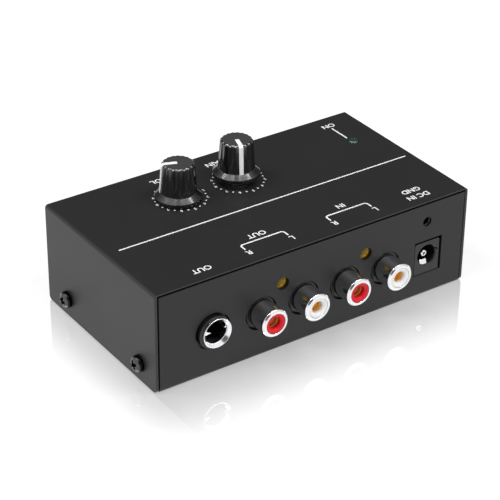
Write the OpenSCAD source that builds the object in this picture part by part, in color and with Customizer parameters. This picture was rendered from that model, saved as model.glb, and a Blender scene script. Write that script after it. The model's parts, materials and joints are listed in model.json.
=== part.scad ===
// Compact two-knob phono preamplifier in a folded steel case: a chassis that carries one
// circuit board and the socket panel, and a cover held by two screws at each end.
// Millimetres. X runs along the socket panel, the panel faces -Y and Z is up.
// The origin is the centre of the underside.

/* [Case] */
// Length of the case, along the socket panel
case_w = 104; // [102:1:118]
// Depth of the case, from the socket panel to the user's side
case_d = 57; // [56:1:68]
// Height of the case without the knobs
case_h = 30.5; // [29.5:0.5:36]
// Thickness of the steel sheet
sheet_t = 0.8; // [0.8:0.1:1.2]
// Outer radius of the sheet's folds
bend_r = 1; // [1:0.1:3]
// Gap between the edges of the cover and the chassis
seam_gap = 0.5; // [0.3:0.1:0.6]
// Sideways play of the chassis in the cover, taken up towards the power inlet
seam_shift = 0.25; // [0:0.05:0.25]
// Height of the cover's end walls above the underside
cover_lift = 0.1; // [0.1:0.1:0.6]
// Radius of the end walls' lower corners
cover_corner_r = 1.3; // [0.5:0.1:3]

/* [Case screws] */
// Thread diameter of the end screws
end_screw_d = 3; // [2.5:0.5:4]
// Length of the end screws under the head
end_screw_len = 4; // [3.5:0.5:5]
// Head diameter of the end screws
end_screw_head_d = 4.9; // [4.7:0.1:7]
// Head height of the end screws
end_screw_head_h = 2; // [1.4:0.1:2.4]
// Height of the end screws above the underside
end_screw_z = 5.6; // [5:0.1:8]
// Place of the end screws next to the user's side
end_screw_near_y = 17.5; // [14:0.5:20]
// Place of the end screws next to the socket panel
end_screw_far_y = -20.5; // [-20.5:0.5:-14]
// Width of the chassis tabs that the end screws grip
tab_w = 10; // [8:0.5:11]
// Height of those tabs above the end screws
tab_rise = 4; // [3:0.5:6]

/* [Circuit board] */
// Thickness of the circuit board
board_t = 1.6; // [1:0.1:2]
// Height of the standoffs under the board
standoff_h = 4.6; // [3:0.1:5]
// Width of the standoffs across their flats
standoff_af = 5; // [4.5:0.1:6]
// Gap between the end screws' tips and the board
board_end_gap = 1; // [0.5:0.1:2]
// Gap between the panels and the board
board_side_gap = 0.8; // [0.4:0.1:1.5]
// Thread diameter of the board screws
board_screw_d = 3; // [2:0.5:3.5]
// Length of the board screws under the head
board_screw_len = 4.5; // [3.5:0.5:5]
// Distance of the board screws from the board's ends
board_screw_inset = 3.5; // [3.2:0.1:5]
// Distance of the outer board screws from the board's long edge
board_screw_edge = 4.2; // [3.4:0.1:6]
// Distance of the inner board screws from the phone jack
board_screw_gap = 3.7; // [3.2:0.1:5]

/* [RCA sockets] */
// Centre of the row of four sockets
rca_row_x = 2.5; // [1:0.5:4]
// Spacing of the sockets
rca_pitch = 14; // [13:0.5:15]
// Height of the phone jack's axis and the sockets' panel holes above the board
socket_axis_h = 6.5; // [6:0.1:8]
// How far the sockets' axes lie above the centres of their panel holes
rca_rise = 0.3; // [0:0.1:0.3]
// Outer diameter of a socket's shell
rca_shell_d = 8.3; // [8:0.1:8.6]
// Wall of a socket's shell
rca_shell_wall = 0.9; // [0.6:0.1:1]
// Reach of a socket in front of the panel
rca_reach = 6.9; // [6:0.1:9]
// Step from a shell's barrel to its stem in the socket block
rca_shell_step = 0.3; // [0.2:0.1:0.4]
// Hole in the insulator's face
rca_pin_hole_d = 3.4; // [3.3:0.1:3.8]
// Inner diameter of the centre contact
rca_contact_d = 3.2; // [3:0.1:3.3]
// Diameter of a socket's hole in the panel
rca_panel_hole_d = 10.2; // [10:0.1:11]
// Depth of a socket block behind the panel
rca_block_l = 10.7; // [9:0.1:12]
// Height of the rivet above the socket axes
rca_rivet_rise = 6.6; // [6.5:0.1:8]
// Diameter of the rivet's viewing hole in the panel
rca_rivet_hole_d = 3.9; // [3:0.1:4.5]

/* [Phone jack] */
// Distance of the phone jack from the first RCA socket
phone_offset = 15.5; // [15:0.5:17]
// Bore for the 6.35 mm plug
phone_bore_d = 6.6; // [6.5:0.1:6.8]
// Outer diameter of the jack's barrel
phone_barrel_d = 9.9; // [9.6:0.1:10.5]
// Reach of the jack in front of the panel
phone_reach = 1.8; // [1.4:0.1:3]
// Diameter of the jack's hole in the panel
phone_panel_hole_d = 11; // [10.8:0.1:12]
// Width of the jack's body
phone_body_w = 15.6; // [14.5:0.1:17]
// Length of the jack's body
phone_body_l = 27; // [26:0.5:28]

/* [Power inlet] */
// Distance of the power inlet from the last RCA socket
dc_offset = 15; // [15:0.5:16]
// Height of the inlet's axis above the board
dc_axis_h = 5.7; // [5.4:0.1:7]
// Width of the inlet's body
dc_body_w = 8.7; // [8.5:0.1:9.5]
// Height of the inlet's body
dc_body_h = 10.2; // [9.8:0.1:12]
// Length of the inlet's body
dc_body_l = 14; // [12:0.5:15]
// Diameter of the hole for the plug's barrel
dc_hole_d = 6.3; // [5.6:0.1:6.4]
// Diameter of the centre pin
dc_pin_d = 2.1; // [1.6:0.1:2.5]
// Gap between the inlet and its cut-out in the panel
dc_cutout_gap = 0.3; // [0.2:0.1:0.6]
// Further room in the cut-out above the inlet and towards the end of the case
dc_cutout_room = 0.4; // [0:0.1:0.6]

/* [Ground terminal] */
// Distance of the ground hole from the power inlet's axis, towards the RCA sockets
ground_offset = 0.7; // [0:0.1:3]
// Depth of the ground hole below the top of the case
ground_drop = 6.6; // [5.5:0.1:7.5]
// Thread diameter of the ground nut
ground_thread_d = 3; // [2.5:0.5:3.5]

/* [Potentiometers] */
// Place of the volume control along the case
volume_x = -19.3; // [-21:0.1:-17]
// Place of the level control along the case
level_x = 0.1; // [-1:0.1:2]
// Place of both controls across the case
control_y = 11.2; // [10:0.1:12.5]
// Width of a potentiometer's housing
pot_w = 10.6; // [10:0.1:12]
// Length of a potentiometer's housing
pot_l = 11.6; // [11:0.1:12.5]
// Height of a potentiometer's housing
pot_h = 9.4; // [9.4:0.1:10.5]
// Diameter of the shaft
shaft_d = 6; // [5.8:0.1:6.2]
// Running clearance of the shaft in its bushing
shaft_clear = 0.05; // [0.02:0.01:0.08]
// Outer diameter of the bushing
bushing_d = 7.6; // [7.2:0.1:9]
// Length of the bushing
bushing_l = 5; // [4:0.5:7]
// Clearance of the shafts in the cover's holes
cover_hole_clear = 0.75; // [0.5:0.05:1.2]

/* [Knobs] */
// Diameter of the skirt
knob_skirt_d = 13.5; // [13:0.1:15]
// Diameter of the grip at its foot
knob_grip_foot_d = 10.6; // [10.2:0.1:11.2]
// Diameter of the grip at its top
knob_grip_top_d = 9.4; // [9:0.1:10]
// Height of a knob
knob_h = 10.9; // [10:0.1:14]
// Gap between the volume knob and the cover
volume_knob_gap = 0.4; // [0.3:0.1:2.5]
// Gap between the level knob and the cover
level_knob_gap = 2.1; // [0.3:0.1:2.5]
// Number of flutes round the grip
flute_count = 18; // [12:1:20]
// Width of the white pointer
pointer_w = 1.2; // [0.8:0.1:1.6]
// Turn of a control from one stop to the other, in degrees
control_travel = 300; // [270:10:300]
// Setting of the volume control on its 0 to 10 dial
volume_setting = 8.7; // [0:0.1:10]
// Setting of the level control on its 0 to 10 dial
level_setting = 5.6; // [0:0.1:10]

/* [Indicator] */
// Diameter of the indicator lamp
led_d = 3; // [3:0.1:4]
// Place of the lamp along the case
led_x = 41.9; // [41:0.1:43]
// Place of the lamp across the case
led_y = 11.7; // [8:0.1:13]
// Height of the lamp's dome above the cover
led_proud = 0.8; // [0.3:0.1:1.5]

/* [Hidden] */

$fn = 64;
round_fn = 32;      // small round details
over = 1;           // how far a cut runs past its face
fit = 0.03;         // radial clearance of pieces pushed together
air = 0.3;          // clearance round moving pieces
behind_panel = sheet_t + air;   // depth of the socket bodies' front faces

// Colours
steel_black = [0.17, 0.17, 0.18];
plastic_black = [0.07, 0.07, 0.07];
zinc = [0.72, 0.73, 0.75];
chrome = [0.85, 0.86, 0.88];
brass = [0.82, 0.62, 0.22];
board_green = [0.08, 0.33, 0.20];
signal_red = [0.80, 0.05, 0.07];
signal_white = [0.93, 0.93, 0.91];
phenolic = [0.42, 0.27, 0.14];

// Case
chassis_h = case_h - sheet_t - seam_gap;
chassis_w = case_w - 2 * (sheet_t + seam_gap);
inner_bend_r = max(bend_r - sheet_t, 0.2);
tab_x = case_w / 2 - sheet_t;           // outer face of the tabs, against the cover
tab_bend_x = tab_x - bend_r;
tab_h = end_screw_z + tab_rise;
tab_root = 4;
tab_relief = 0.5;
end_screw_ys = [end_screw_far_y, end_screw_near_y];

// Circuit board
board_z = sheet_t + standoff_h;
board_top = board_z + board_t;
board_w = case_w - 2 * (end_screw_len + board_end_gap);
board_d = case_d - 2 * (sheet_t + board_side_gap);
board_corner_r = 1;
board_screw_x = board_w / 2 - board_screw_inset;
phone_rear_y = -case_d / 2 + behind_panel + phone_body_l;
board_screw_ys = [phone_rear_y + board_screw_gap, board_d / 2 - board_screw_edge];
board_hole_d = board_screw_d + 0.4;
board_screw_head_d = 1.8 * board_screw_d;
board_screw_head_h = 0.6 * board_screw_d;

// Sockets: local frames have +Z out of the panel, with 0 on its outer face
socket_z = board_top + socket_axis_h;
rca_axis_h = socket_axis_h + rca_rise;
rca_z = board_top + rca_axis_h;
rca_first_x = rca_row_x - 1.5 * rca_pitch;
rca_xs = [for (i = [0:3]) rca_first_x + i * rca_pitch];
rca_block_xs = [(rca_xs[0] + rca_xs[1]) / 2, (rca_xs[2] + rca_xs[3]) / 2];
rca_block_margin = 5.5;
rca_block_rise = 5;
rca_back = behind_panel + rca_block_l;
rca_boss_wall = 0.5;
rca_boss_recess = 0.3;
rca_shell_r = rca_shell_d / 2;
rca_stem_r = rca_shell_r - rca_shell_step;
rca_lip_chamfer = 0.6;
rca_insulator_r = rca_shell_r - rca_shell_wall - fit;
rca_face_recess = 0.1;
rca_face_t = 0.4;
rca_contact_wall = 0.3;
rca_contact_r = rca_contact_d / 2 + rca_contact_wall;
rca_plate_t = 0.6;
rca_plate_drop = 5;
rca_plate_inset = 1;
rca_plate_leg_w = 3;
rca_tail_w = 1.2;
rca_tail_t = 0.4;
rca_insulator_back = rca_back + rca_plate_t + 0.5;
rca_ear_w = 9;
rca_ear_t = 2.6;
rca_ear_margin = 2.9;
rivet_head_t = 0.2;
rivet_head_r = rca_rivet_hole_d / 2 + 0.4;
rivet_r = 1.2;

phone_x = rca_first_x - phone_offset;
phone_bore_r = phone_bore_d / 2;
ferrule_wall = 0.45;
ferrule_l = 7;
ferrule_flange_t = 0.8;
ferrule_rim = 0.45;
ferrule_cone_drop = 0.85;
phone_flange_r = phone_barrel_d / 2 - ferrule_rim;
phone_slot_w = 3.6;
phone_slot_inner = 0.8 * phone_bore_r;
phone_slot_reach = 5.4;
phone_slot_rise = 1.8;
phone_blade_t = 0.4;
phone_blade_h = 2;
phone_blade_gap = 0.1;
// Each contact spring's side, 1 for the mirrored one, and the depth of its slot's far end
phone_slots = [[0, 24], [1, 19], [0, 13]];

dc_x = rca_xs[3] + dc_offset;
dc_z = board_top + dc_axis_h;
dc_recess = 0.2;
dc_hole_l = 10;
dc_pin_recess = 1.1;
dc_back = dc_recess + dc_body_l;
dc_tail_t = 0.5;
dc_tail_w = 1.6;
dc_strip_w = 2.4;
dc_strip_t = 0.4;
dc_strip_recess = 1;
dc_strip_rise = 0.35;

ground_x = dc_x - ground_offset;
ground_z = case_h - ground_drop;
nut_af = 2.5 + ground_thread_d;
nut_t = 2.5;

// Potentiometers: local frames have 0 on the board's upper face
pot_plate_t = 0.8;
pot_leg_w = 3;
pot_leg_t = 0.6;
pot_floor_t = 1;
pot_well_r = 3.9;
pot_ledge_r = 4.4;
pot_track_t = 0.8;
pot_ledge_z = 5.2;
pot_track_hole_r = 2.7;
rotor_disc_t = 1;
rotor_sleeve_r = pot_track_hole_r - air;
rotor_z = pot_floor_t + pot_track_t + air;
rotor_upper_z = pot_ledge_z + pot_track_t + air;
rotor_top = rotor_upper_z + rotor_disc_t;
stem_r = 1.4;
collar_r = shaft_d / 2 + 0.5;
collar_top = pot_h - air;
terminal_w = 0.8;
terminal_t = 0.4;
terminal_pitch = 2.5;
terminal_top = 3;

// Knobs: local frames have 0 at the foot of the skirt
knob_skirt_r = knob_skirt_d / 2;
skirt_rim_h = 1.1;
skirt_h = 2.3;
skirt_recess_h = 1;
skirt_recess_wall = 0.9;
skirt_hub_r = shaft_d / 2 + 1.2;
knob_cap_t = 1.6;
knob_chamfer = 0.3;
grip_foot_r = knob_grip_foot_d / 2;
grip_top_r = knob_grip_top_d / 2;
grip_taper = atan((grip_foot_r - grip_top_r) / (knob_h - skirt_h));
flute_r = 0.75;
flute_depth = 0.38;
flute_lift = 0.3;
pointer_proud = 0.3;
pointer_depth = 0.6;
pointer_foot = 0.35;
pointer_start = 0.3;
shaft_slot_w = 1;
shaft_slot_l = 7;
shaft_top = case_h + min(volume_knob_gap, level_knob_gap) + knob_h - knob_cap_t - air - board_top;

// Indicator
led_r = led_d / 2;
led_flange_r = led_r + 0.4;
led_flange_t = 1;
led_len = 5.3;
led_z = case_h + led_proud - led_len;
led_hole_clear = 0.15;
led_lead = 0.5;
led_lead_pitch = 2.54;
spacer_wall = 0.7;
spacer_bore_r = led_r + 0.25;

// Components on the board, each with its place in X and Y
chip_places = [[-12, -6], [13, -6]];
chip_size = [9.6, 6.4, 3.3];
chip_lift = 0.5;
chip_pin_pitch = 2.54;
chip_row = 7.62;
chip_pin = [0.5, 0.3];
big_can = [4, 11.5];                    // radius and height
small_can = [2.5, 11];
can_groove_z = 1.6;
can_groove_w = 0.4;                     // half its width
can_groove = 0.3;                       // its depth, and the rounding of the top edge
big_can_places = [[31, -6], [0.5, -7]];
small_can_places = [[phone_x + 0.5, phone_rear_y + 9.2], [phone_x + 0.5, phone_rear_y + 15.2],
    [-21, -9.5], [23.5, -7.5], [-10, 20.5], [10.5, 20.5]];
film_size = [2.6, 7.2, 6.5];
film_places = [[volume_x - 8.2, control_y - 2.7], [volume_x - 8.2, control_y + 5.3],
    [level_x + 9.4, control_y - 3.7], [level_x + 12.9, control_y - 3.7]];
disc_cap = [2.2, 1.6];
disc_cap_lift = 1.2;
disc_cap_places = [[-4.5, 21.5], [1, 21.5], [level_x + 11.9, control_y + 2.8],
    [phone_x - 5.5, phone_rear_y + 12.7]];
resistor_r = 1.15;
resistor_l = 6.3;
resistor_span = 5.08;
lead_r = 0.3;
resistor_lift = 1.4;
resistor_first_x = 19;
resistor_step = 3.2;
resistor_count = 5;
resistor_rows = [5, 18];
regulator_r = 2.4;
regulator_flat = 1.2;
regulator_h = 4.8;
regulator_lift = 2.5;
regulator_place = [dc_x - 1, dc_back + 10.8 - case_d / 2];
regulator_pin_pitch = 1.27;
regulator_pin = 0.45;
diode_place = [led_x - 4.4, led_y + 2.3];
diode_r = 1.35;
diode_l = 5;

// ---------- shared shapes ----------

// Places children on the socket panel, with +Z pointing out of it
module at_panel(x, z) {
    translate([x, -case_d / 2, z]) rotate([90, 0, 0]) children();
}

// Places children on an end wall, with +Z pointing out of it
module at_end(side, y, z) {
    translate([side * case_w / 2, y, z]) rotate([0, side * 90, 0]) children();
}

// Places children at the four board screws
module at_board_screws(z) {
    for (side = [-1, 1], y = board_screw_ys)
        translate([side * board_screw_x, y, z]) children();
}

// Places children at the four end screws
module at_end_screws() {
    for (side = [-1, 1], y = end_screw_ys)
        at_end(side, y, end_screw_z) children();
}

// Block with its centre above the origin in X and Y
module block(size) {
    translate([-size[0] / 2, -size[1] / 2, 0]) cube(size);
}

module ring(outer_r, inner_r, h) {
    difference() {
        cylinder(r = outer_r, h = h);
        translate([0, 0, -over]) cylinder(r = inner_r, h = h + 2 * over);
    }
}

// Trough outline: a rectangle w wide and h high with its two lower corners rounded
module trough(w, h, r) {
    translate([-w / 2, r]) square([w, h - r]);
    translate([-w / 2 + r, 0]) square([w - 2 * r, r + over]);
    for (side = [-1, 1]) translate([side * (w / 2 - r), r]) circle(r);
}

// Section of a sheet folded to an open channel
module channel(w, h) {
    difference() {
        trough(w, h, bend_r);
        translate([0, sheet_t]) trough(w - 2 * sheet_t, h, inner_bend_r);
    }
}

// Extrudes a section drawn in Y and Z along X
module along_x(length) {
    rotate([90, 0, 90]) linear_extrude(length, center = true) children();
}

// Extrudes a section drawn in X and Z along Y
module along_y(length) {
    rotate([90, 0, 0]) linear_extrude(length, center = true) children();
}

// Pan-head screw with a cross recess: the head's seat is at 0 and the shank points down
module pan_screw(d, length, head_d, head_h) {
    head_r = head_d / 2;
    slot_w = 0.16 * head_d;
    slot_l = 0.56 * head_d;
    slot_depth = 0.6 * head_h;
    difference() {
        union() {
            rotate_extrude() polygon([[0, 0], [head_r, 0], [head_r, 0.45 * head_h],
                [0.86 * head_r, 0.8 * head_h], [0.55 * head_r, head_h], [0, head_h]]);
            translate([0, 0, -length]) cylinder(d = d, h = length + head_h / 2);
        }
        for (turn = [0, 90])
            rotate([0, 0, turn]) translate([0, 0, head_h - slot_depth])
                block([slot_l, slot_w, slot_depth + over]);
    }
}

// ---------- case ----------

module tab() {
    difference() {
        translate([tab_bend_x, bend_r]) circle(bend_r);
        translate([tab_bend_x, bend_r]) circle(inner_bend_r);
        translate([tab_bend_x - bend_r - over, 0]) square([bend_r + over, 2 * bend_r + over]);
        translate([tab_bend_x - over, bend_r]) square([bend_r + 2 * over, bend_r + over]);
    }
    translate([tab_bend_x - tab_root, 0]) square([tab_root, sheet_t]);
    translate([tab_x - sheet_t, bend_r]) square([sheet_t, tab_h - bend_r]);
}

module panel_holes() {
    at_panel(phone_x, socket_z) through_panel(phone_panel_hole_d / 2);
    for (x = rca_xs) at_panel(x, socket_z) through_panel(rca_panel_hole_d / 2);
    for (x = rca_block_xs)
        at_panel(x, rca_z + rca_rivet_rise) through_panel(rca_rivet_hole_d / 2);
    at_panel(ground_x, ground_z) through_panel(ground_thread_d / 2);
    at_panel(dc_x, dc_z)
        translate([-dc_body_w / 2 - dc_cutout_gap, -dc_axis_h - dc_cutout_gap, -sheet_t - over])
            cube([dc_body_w + 2 * dc_cutout_gap + dc_cutout_room,
                dc_body_h + 2 * dc_cutout_gap + dc_cutout_room, sheet_t + 2 * over]);
}

module through_panel(r) {
    translate([0, 0, -sheet_t - over]) cylinder(r = r, h = sheet_t + 2 * over);
}

module base_chassis() {
    notch_w = tab_w + 2 * tab_relief;
    color(steel_black) difference() {
        union() {
            difference() {
                translate([seam_shift, 0, 0]) along_x(chassis_w) channel(case_d, chassis_h);
                for (side = [-1, 1], y = end_screw_ys)
                    translate([side * (tab_bend_x + case_w / 2), y, -over])
                        block([case_w, notch_w, sheet_t + 2 * over]);
            }
            for (side = [0, 1], y = end_screw_ys)
                mirror([side, 0, 0]) translate([0, y, 0]) along_y(tab_w) tab();
        }
        panel_holes();
        at_end_screws() translate([0, 0, -end_screw_len - over])
            cylinder(r = end_screw_d / 2 + fit, h = end_screw_len + over);
    }
}

module top_cover() {
    screw_hole_r = end_screw_d / 2 + 0.2;
    color(steel_black) difference() {
        intersection() {
            translate([0, 0, case_h]) mirror([0, 0, 1])
                along_y(case_d) channel(case_w, case_h - cover_lift);
            translate([0, 0, cover_lift]) along_x(case_w + over) trough(case_d, case_h, cover_corner_r);
        }
        for (x = [volume_x, level_x])
            translate([x, control_y, case_h - sheet_t - over])
                cylinder(r = shaft_d / 2 + cover_hole_clear, h = sheet_t + 2 * over);
        translate([led_x, led_y, case_h - sheet_t - over])
            cylinder(r = led_r + led_hole_clear, h = sheet_t + 2 * over);
        at_end_screws() translate([0, 0, -sheet_t - over])
            cylinder(r = screw_hole_r, h = sheet_t + 2 * over);
    }
}

module end_screws() {
    color(plastic_black) at_end_screws()
        pan_screw(end_screw_d, end_screw_len, end_screw_head_d, end_screw_head_h);
}

// ---------- circuit board ----------

module board_standoffs() {
    color(zinc) at_board_screws(sheet_t) difference() {
        cylinder(r = standoff_af / sqrt(3), h = standoff_h, $fn = 6);
        translate([0, 0, -over])
            cylinder(r = board_screw_d / 2 + fit, h = standoff_h + 2 * over);
    }
}

module circuit_board() {
    color(board_green) difference() {
        translate([0, 0, board_z]) linear_extrude(board_t) union() {
            square([board_w, board_d - 2 * board_corner_r], center = true);
            square([board_w - 2 * board_corner_r, board_d], center = true);
            for (sx = [-1, 1], sy = [-1, 1])
                translate([sx * (board_w / 2 - board_corner_r),
                    sy * (board_d / 2 - board_corner_r)]) circle(board_corner_r);
        }
        at_board_screws(board_z - over) cylinder(d = board_hole_d, h = board_t + 2 * over);
    }
}

module board_screws() {
    color(zinc) at_board_screws(board_top)
        pan_screw(board_screw_d, board_screw_len, board_screw_head_d, board_screw_head_h);
}

// ---------- phone jack ----------

module phone_slot(length) {
    translate([phone_slot_inner, -socket_axis_h - over, -behind_panel - length])
        cube([phone_slot_reach - phone_slot_inner, socket_axis_h + over + phone_slot_rise,
            phone_slot_w]);
}

module phone_jack_housing() {
    ferrule_r = phone_bore_r + ferrule_wall + fit;
    barrel_top = phone_reach - ferrule_flange_t;
    color(plastic_black) at_panel(phone_x, socket_z) difference() {
        union() {
            translate([-phone_body_w / 2, -socket_axis_h, -behind_panel - phone_body_l])
                cube([phone_body_w, 2 * socket_axis_h, phone_body_l]);
            translate([0, 0, -behind_panel - over])
                cylinder(d = phone_barrel_d, h = behind_panel + over + barrel_top);
        }
        translate([0, 0, barrel_top - ferrule_l]) cylinder(r = ferrule_r, h = ferrule_l + over);
        translate([0, 0, -behind_panel - phone_body_l - over])
            cylinder(r = phone_bore_r, h = phone_body_l + behind_panel);
        for (slot = phone_slots) mirror([slot[0], 0, 0]) phone_slot(slot[1]);
    }
}

module phone_jack_ferrule() {
    back = phone_reach - ferrule_flange_t - ferrule_l;
    front = phone_reach;
    flange_back = phone_reach - ferrule_flange_t;
    color(chrome) at_panel(phone_x, socket_z) rotate_extrude() polygon([
        [phone_bore_r, back], [phone_bore_r + ferrule_wall, back],
        [phone_bore_r + ferrule_wall, flange_back], [phone_flange_r, flange_back],
        [phone_flange_r, front - ferrule_rim / 2], [phone_flange_r - ferrule_rim / 2, front],
        [phone_bore_r, front - ferrule_cone_drop]]);
}

// Contact spring in one of the jack's slots: a blade beside the bore and a tail to the board
module phone_spring(slot) {
    blade_x = phone_bore_r + phone_blade_gap;
    color(brass) at_panel(phone_x, socket_z) mirror([slot[0], 0, 0])
        translate([blade_x, 0, -behind_panel - slot[1] + air]) {
            translate([0, -phone_blade_h / 2, 0])
                cube([phone_blade_t, phone_blade_h, phone_slot_w - 2 * air]);
            translate([0, -socket_axis_h, 0])
                cube([phone_slot_reach - air - blade_x, socket_axis_h + phone_blade_h / 2,
                    phone_blade_t]);
        }
}

module phone_jack_tip_spring() { phone_spring(phone_slots[0]); }
module phone_jack_ring_spring() { phone_spring(phone_slots[1]); }
module phone_jack_sleeve_spring() { phone_spring(phone_slots[2]); }

// ---------- RCA sockets ----------

module rca_housing(x) {
    body_w = rca_pitch + 2 * rca_block_margin;
    ear_h = rca_rivet_rise + rca_ear_margin;
    boss_h = behind_panel - rca_boss_recess;
    color(plastic_black) at_panel(x, rca_z) difference() {
        union() {
            translate([-body_w / 2, -rca_axis_h, -rca_back])
                cube([body_w, rca_axis_h + rca_block_rise, rca_block_l]);
            translate([-rca_ear_w / 2, 0, -behind_panel - rca_ear_t])
                cube([rca_ear_w, ear_h, rca_ear_t]);
            for (side = [-1, 1]) translate([side * rca_pitch / 2, 0, -behind_panel - over])
                cylinder(r = rca_shell_r + rca_boss_wall, h = boss_h + over);
        }
        for (side = [-1, 1]) translate([side * rca_pitch / 2, 0, -rca_back - over])
            cylinder(r = rca_stem_r + fit, h = rca_back + over);
        translate([0, rca_rivet_rise, -behind_panel - rca_ear_t - over])
            cylinder(r = rivet_r + fit, h = rca_ear_t + 2 * over, $fn = round_fn);
    }
}

module rca_ground_plate(x) {
    plate_w = rca_pitch + 2 * (rca_block_margin - rca_plate_inset);
    color(zinc) at_panel(x, rca_z) translate([0, 0, -rca_back - rca_plate_t]) difference() {
        union() {
            translate([-plate_w / 2, -rca_plate_drop, 0])
                cube([plate_w, rca_plate_drop + rca_block_rise, rca_plate_t]);
            translate([-rca_plate_leg_w / 2, -rca_axis_h, 0])
                cube([rca_plate_leg_w, rca_axis_h, rca_plate_t]);
        }
        for (side = [-1, 1]) translate([side * rca_pitch / 2, 0, -over])
            cylinder(r = rca_insulator_r + fit, h = rca_plate_t + 2 * over);
    }
}

// Barrel outside the panel on a narrower stem through the socket block
module rca_shell(x) {
    inner_r = rca_shell_r - rca_shell_wall;
    color(chrome) at_panel(x, rca_z) rotate_extrude() polygon([
        [inner_r, -rca_back], [rca_stem_r, -rca_back], [rca_stem_r, 0], [rca_shell_r, 0],
        [rca_shell_r, rca_reach - rca_lip_chamfer],
        [rca_shell_r - rca_lip_chamfer, rca_reach], [inner_r, rca_reach]]);
}

module rca_insulator(x, tint) {
    face = rca_reach - rca_face_recess;
    seat_r = rca_contact_r + fit;
    color(tint) at_panel(x, rca_z) rotate_extrude() polygon([
        [seat_r, -rca_insulator_back], [rca_insulator_r, -rca_insulator_back],
        [rca_insulator_r, face], [rca_pin_hole_d / 2, face],
        [rca_pin_hole_d / 2, face - rca_face_t], [seat_r, face - rca_face_t]]);
}

module rca_contact(x) {
    front = rca_reach - rca_face_recess - rca_face_t;
    color(brass) at_panel(x, rca_z) {
        translate([0, 0, -rca_insulator_back])
            ring(rca_contact_r, rca_contact_d / 2, front + rca_insulator_back);
        translate([0, 0, -rca_insulator_back - rca_tail_t])
            cylinder(r = rca_contact_r, h = rca_tail_t);
        translate([-rca_tail_w / 2, -rca_axis_h, -rca_insulator_back - rca_tail_t])
            cube([rca_tail_w, rca_axis_h, rca_tail_t]);
    }
}

module output_rca_housing() { rca_housing(rca_block_xs[0]); }
module input_rca_housing() { rca_housing(rca_block_xs[1]); }
module output_rca_ground_plate() { rca_ground_plate(rca_block_xs[0]); }
module input_rca_ground_plate() { rca_ground_plate(rca_block_xs[1]); }
module output_right_shell() { rca_shell(rca_xs[0]); }
module output_left_shell() { rca_shell(rca_xs[1]); }
module input_right_shell() { rca_shell(rca_xs[2]); }
module input_left_shell() { rca_shell(rca_xs[3]); }
module output_right_insulator() { rca_insulator(rca_xs[0], signal_red); }
module output_left_insulator() { rca_insulator(rca_xs[1], signal_white); }
module input_right_insulator() { rca_insulator(rca_xs[2], signal_red); }
module input_left_insulator() { rca_insulator(rca_xs[3], signal_white); }
module output_right_contact() { rca_contact(rca_xs[0]); }
module output_left_contact() { rca_contact(rca_xs[1]); }
module input_right_contact() { rca_contact(rca_xs[2]); }
module input_left_contact() { rca_contact(rca_xs[3]); }

module rca_rivets() {
    color(brass) for (x = rca_block_xs)
        at_panel(x, rca_z + rca_rivet_rise) {
            translate([0, 0, -behind_panel]) cylinder(r = rivet_head_r, h = rivet_head_t);
            translate([0, 0, -behind_panel - rca_ear_t])
                cylinder(r = rivet_r, h = rca_ear_t, $fn = round_fn);
        }
}

// ---------- power inlet and ground terminal ----------

module dc_jack_housing() {
    color(plastic_black) at_panel(dc_x, dc_z) difference() {
        translate([-dc_body_w / 2, -dc_axis_h, -dc_back]) cube([dc_body_w, dc_body_h, dc_body_l]);
        translate([0, 0, -dc_recess - dc_hole_l]) cylinder(d = dc_hole_d, h = dc_hole_l + over);
        translate([0, 0, -dc_back - over]) cylinder(r = dc_pin_d / 2 + fit, h = dc_body_l);
        dc_strip(fit, dc_body_l);
    }
}

// Flat contact under the plug's barrel; the housing's slot for it is the same shape, larger
module dc_strip(grow, length) {
    top = -dc_hole_d / 2 + dc_strip_rise;
    translate([-dc_strip_w / 2 - grow, top - dc_strip_t - grow,
        -dc_recess - dc_strip_recess - length])
        cube([dc_strip_w + 2 * grow, dc_strip_t + 2 * grow, length + grow]);
}

module dc_jack_pin() {
    pin_r = dc_pin_d / 2;
    pin_back = dc_back + 2 * dc_tail_t + air;
    color(chrome) at_panel(dc_x, dc_z) {
        translate([0, 0, -pin_back])
            cylinder(r = pin_r, h = pin_back - dc_recess - dc_pin_recess - pin_r);
        translate([0, 0, -dc_recess - dc_pin_recess - pin_r]) sphere(r = pin_r);
        translate([-dc_tail_w / 2, -dc_axis_h, -pin_back])
            cube([dc_tail_w, dc_axis_h, dc_tail_t]);
    }
}

module dc_jack_spring() {
    color(chrome) at_panel(dc_x, dc_z) {
        dc_strip(0, dc_body_l - dc_strip_recess + dc_tail_t);
        translate([-dc_strip_w / 2, -dc_axis_h, -dc_back - dc_tail_t])
            cube([dc_strip_w, dc_axis_h - dc_hole_d / 2 + dc_strip_rise, dc_tail_t]);
    }
}

// Nut behind the panel: its thread runs on through the panel
module ground_nut() {
    color(zinc) at_panel(ground_x, ground_z) translate([0, 0, -sheet_t - nut_t]) difference() {
        cylinder(r = nut_af / sqrt(3), h = nut_t, $fn = 6);
        translate([0, 0, -over]) cylinder(d = ground_thread_d, h = nut_t + 2 * over);
    }
}

// ---------- indicator ----------

module power_led() {
    color([0.05, 0.35, 0.22]) translate([led_x, led_y, led_z]) {
        cylinder(r = led_flange_r, h = led_flange_t);
        cylinder(r = led_r, h = led_len - led_r);
        translate([0, 0, led_len - led_r]) sphere(r = led_r);
    }
}

module led_spacer() {
    color(plastic_black) translate([led_x, led_y, board_top])
        ring(spacer_bore_r + spacer_wall, spacer_bore_r, led_z - board_top);
}

module led_leads() {
    color(zinc) for (side = [-1, 1])
        translate([led_x + side * led_lead_pitch / 2, led_y, board_top])
            block([led_lead, led_lead, led_z - board_top]);
}

// ---------- potentiometers ----------

// Places children on the board under a control
module at_control(x, z = board_top) {
    translate([x, control_y, z]) children();
}

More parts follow.
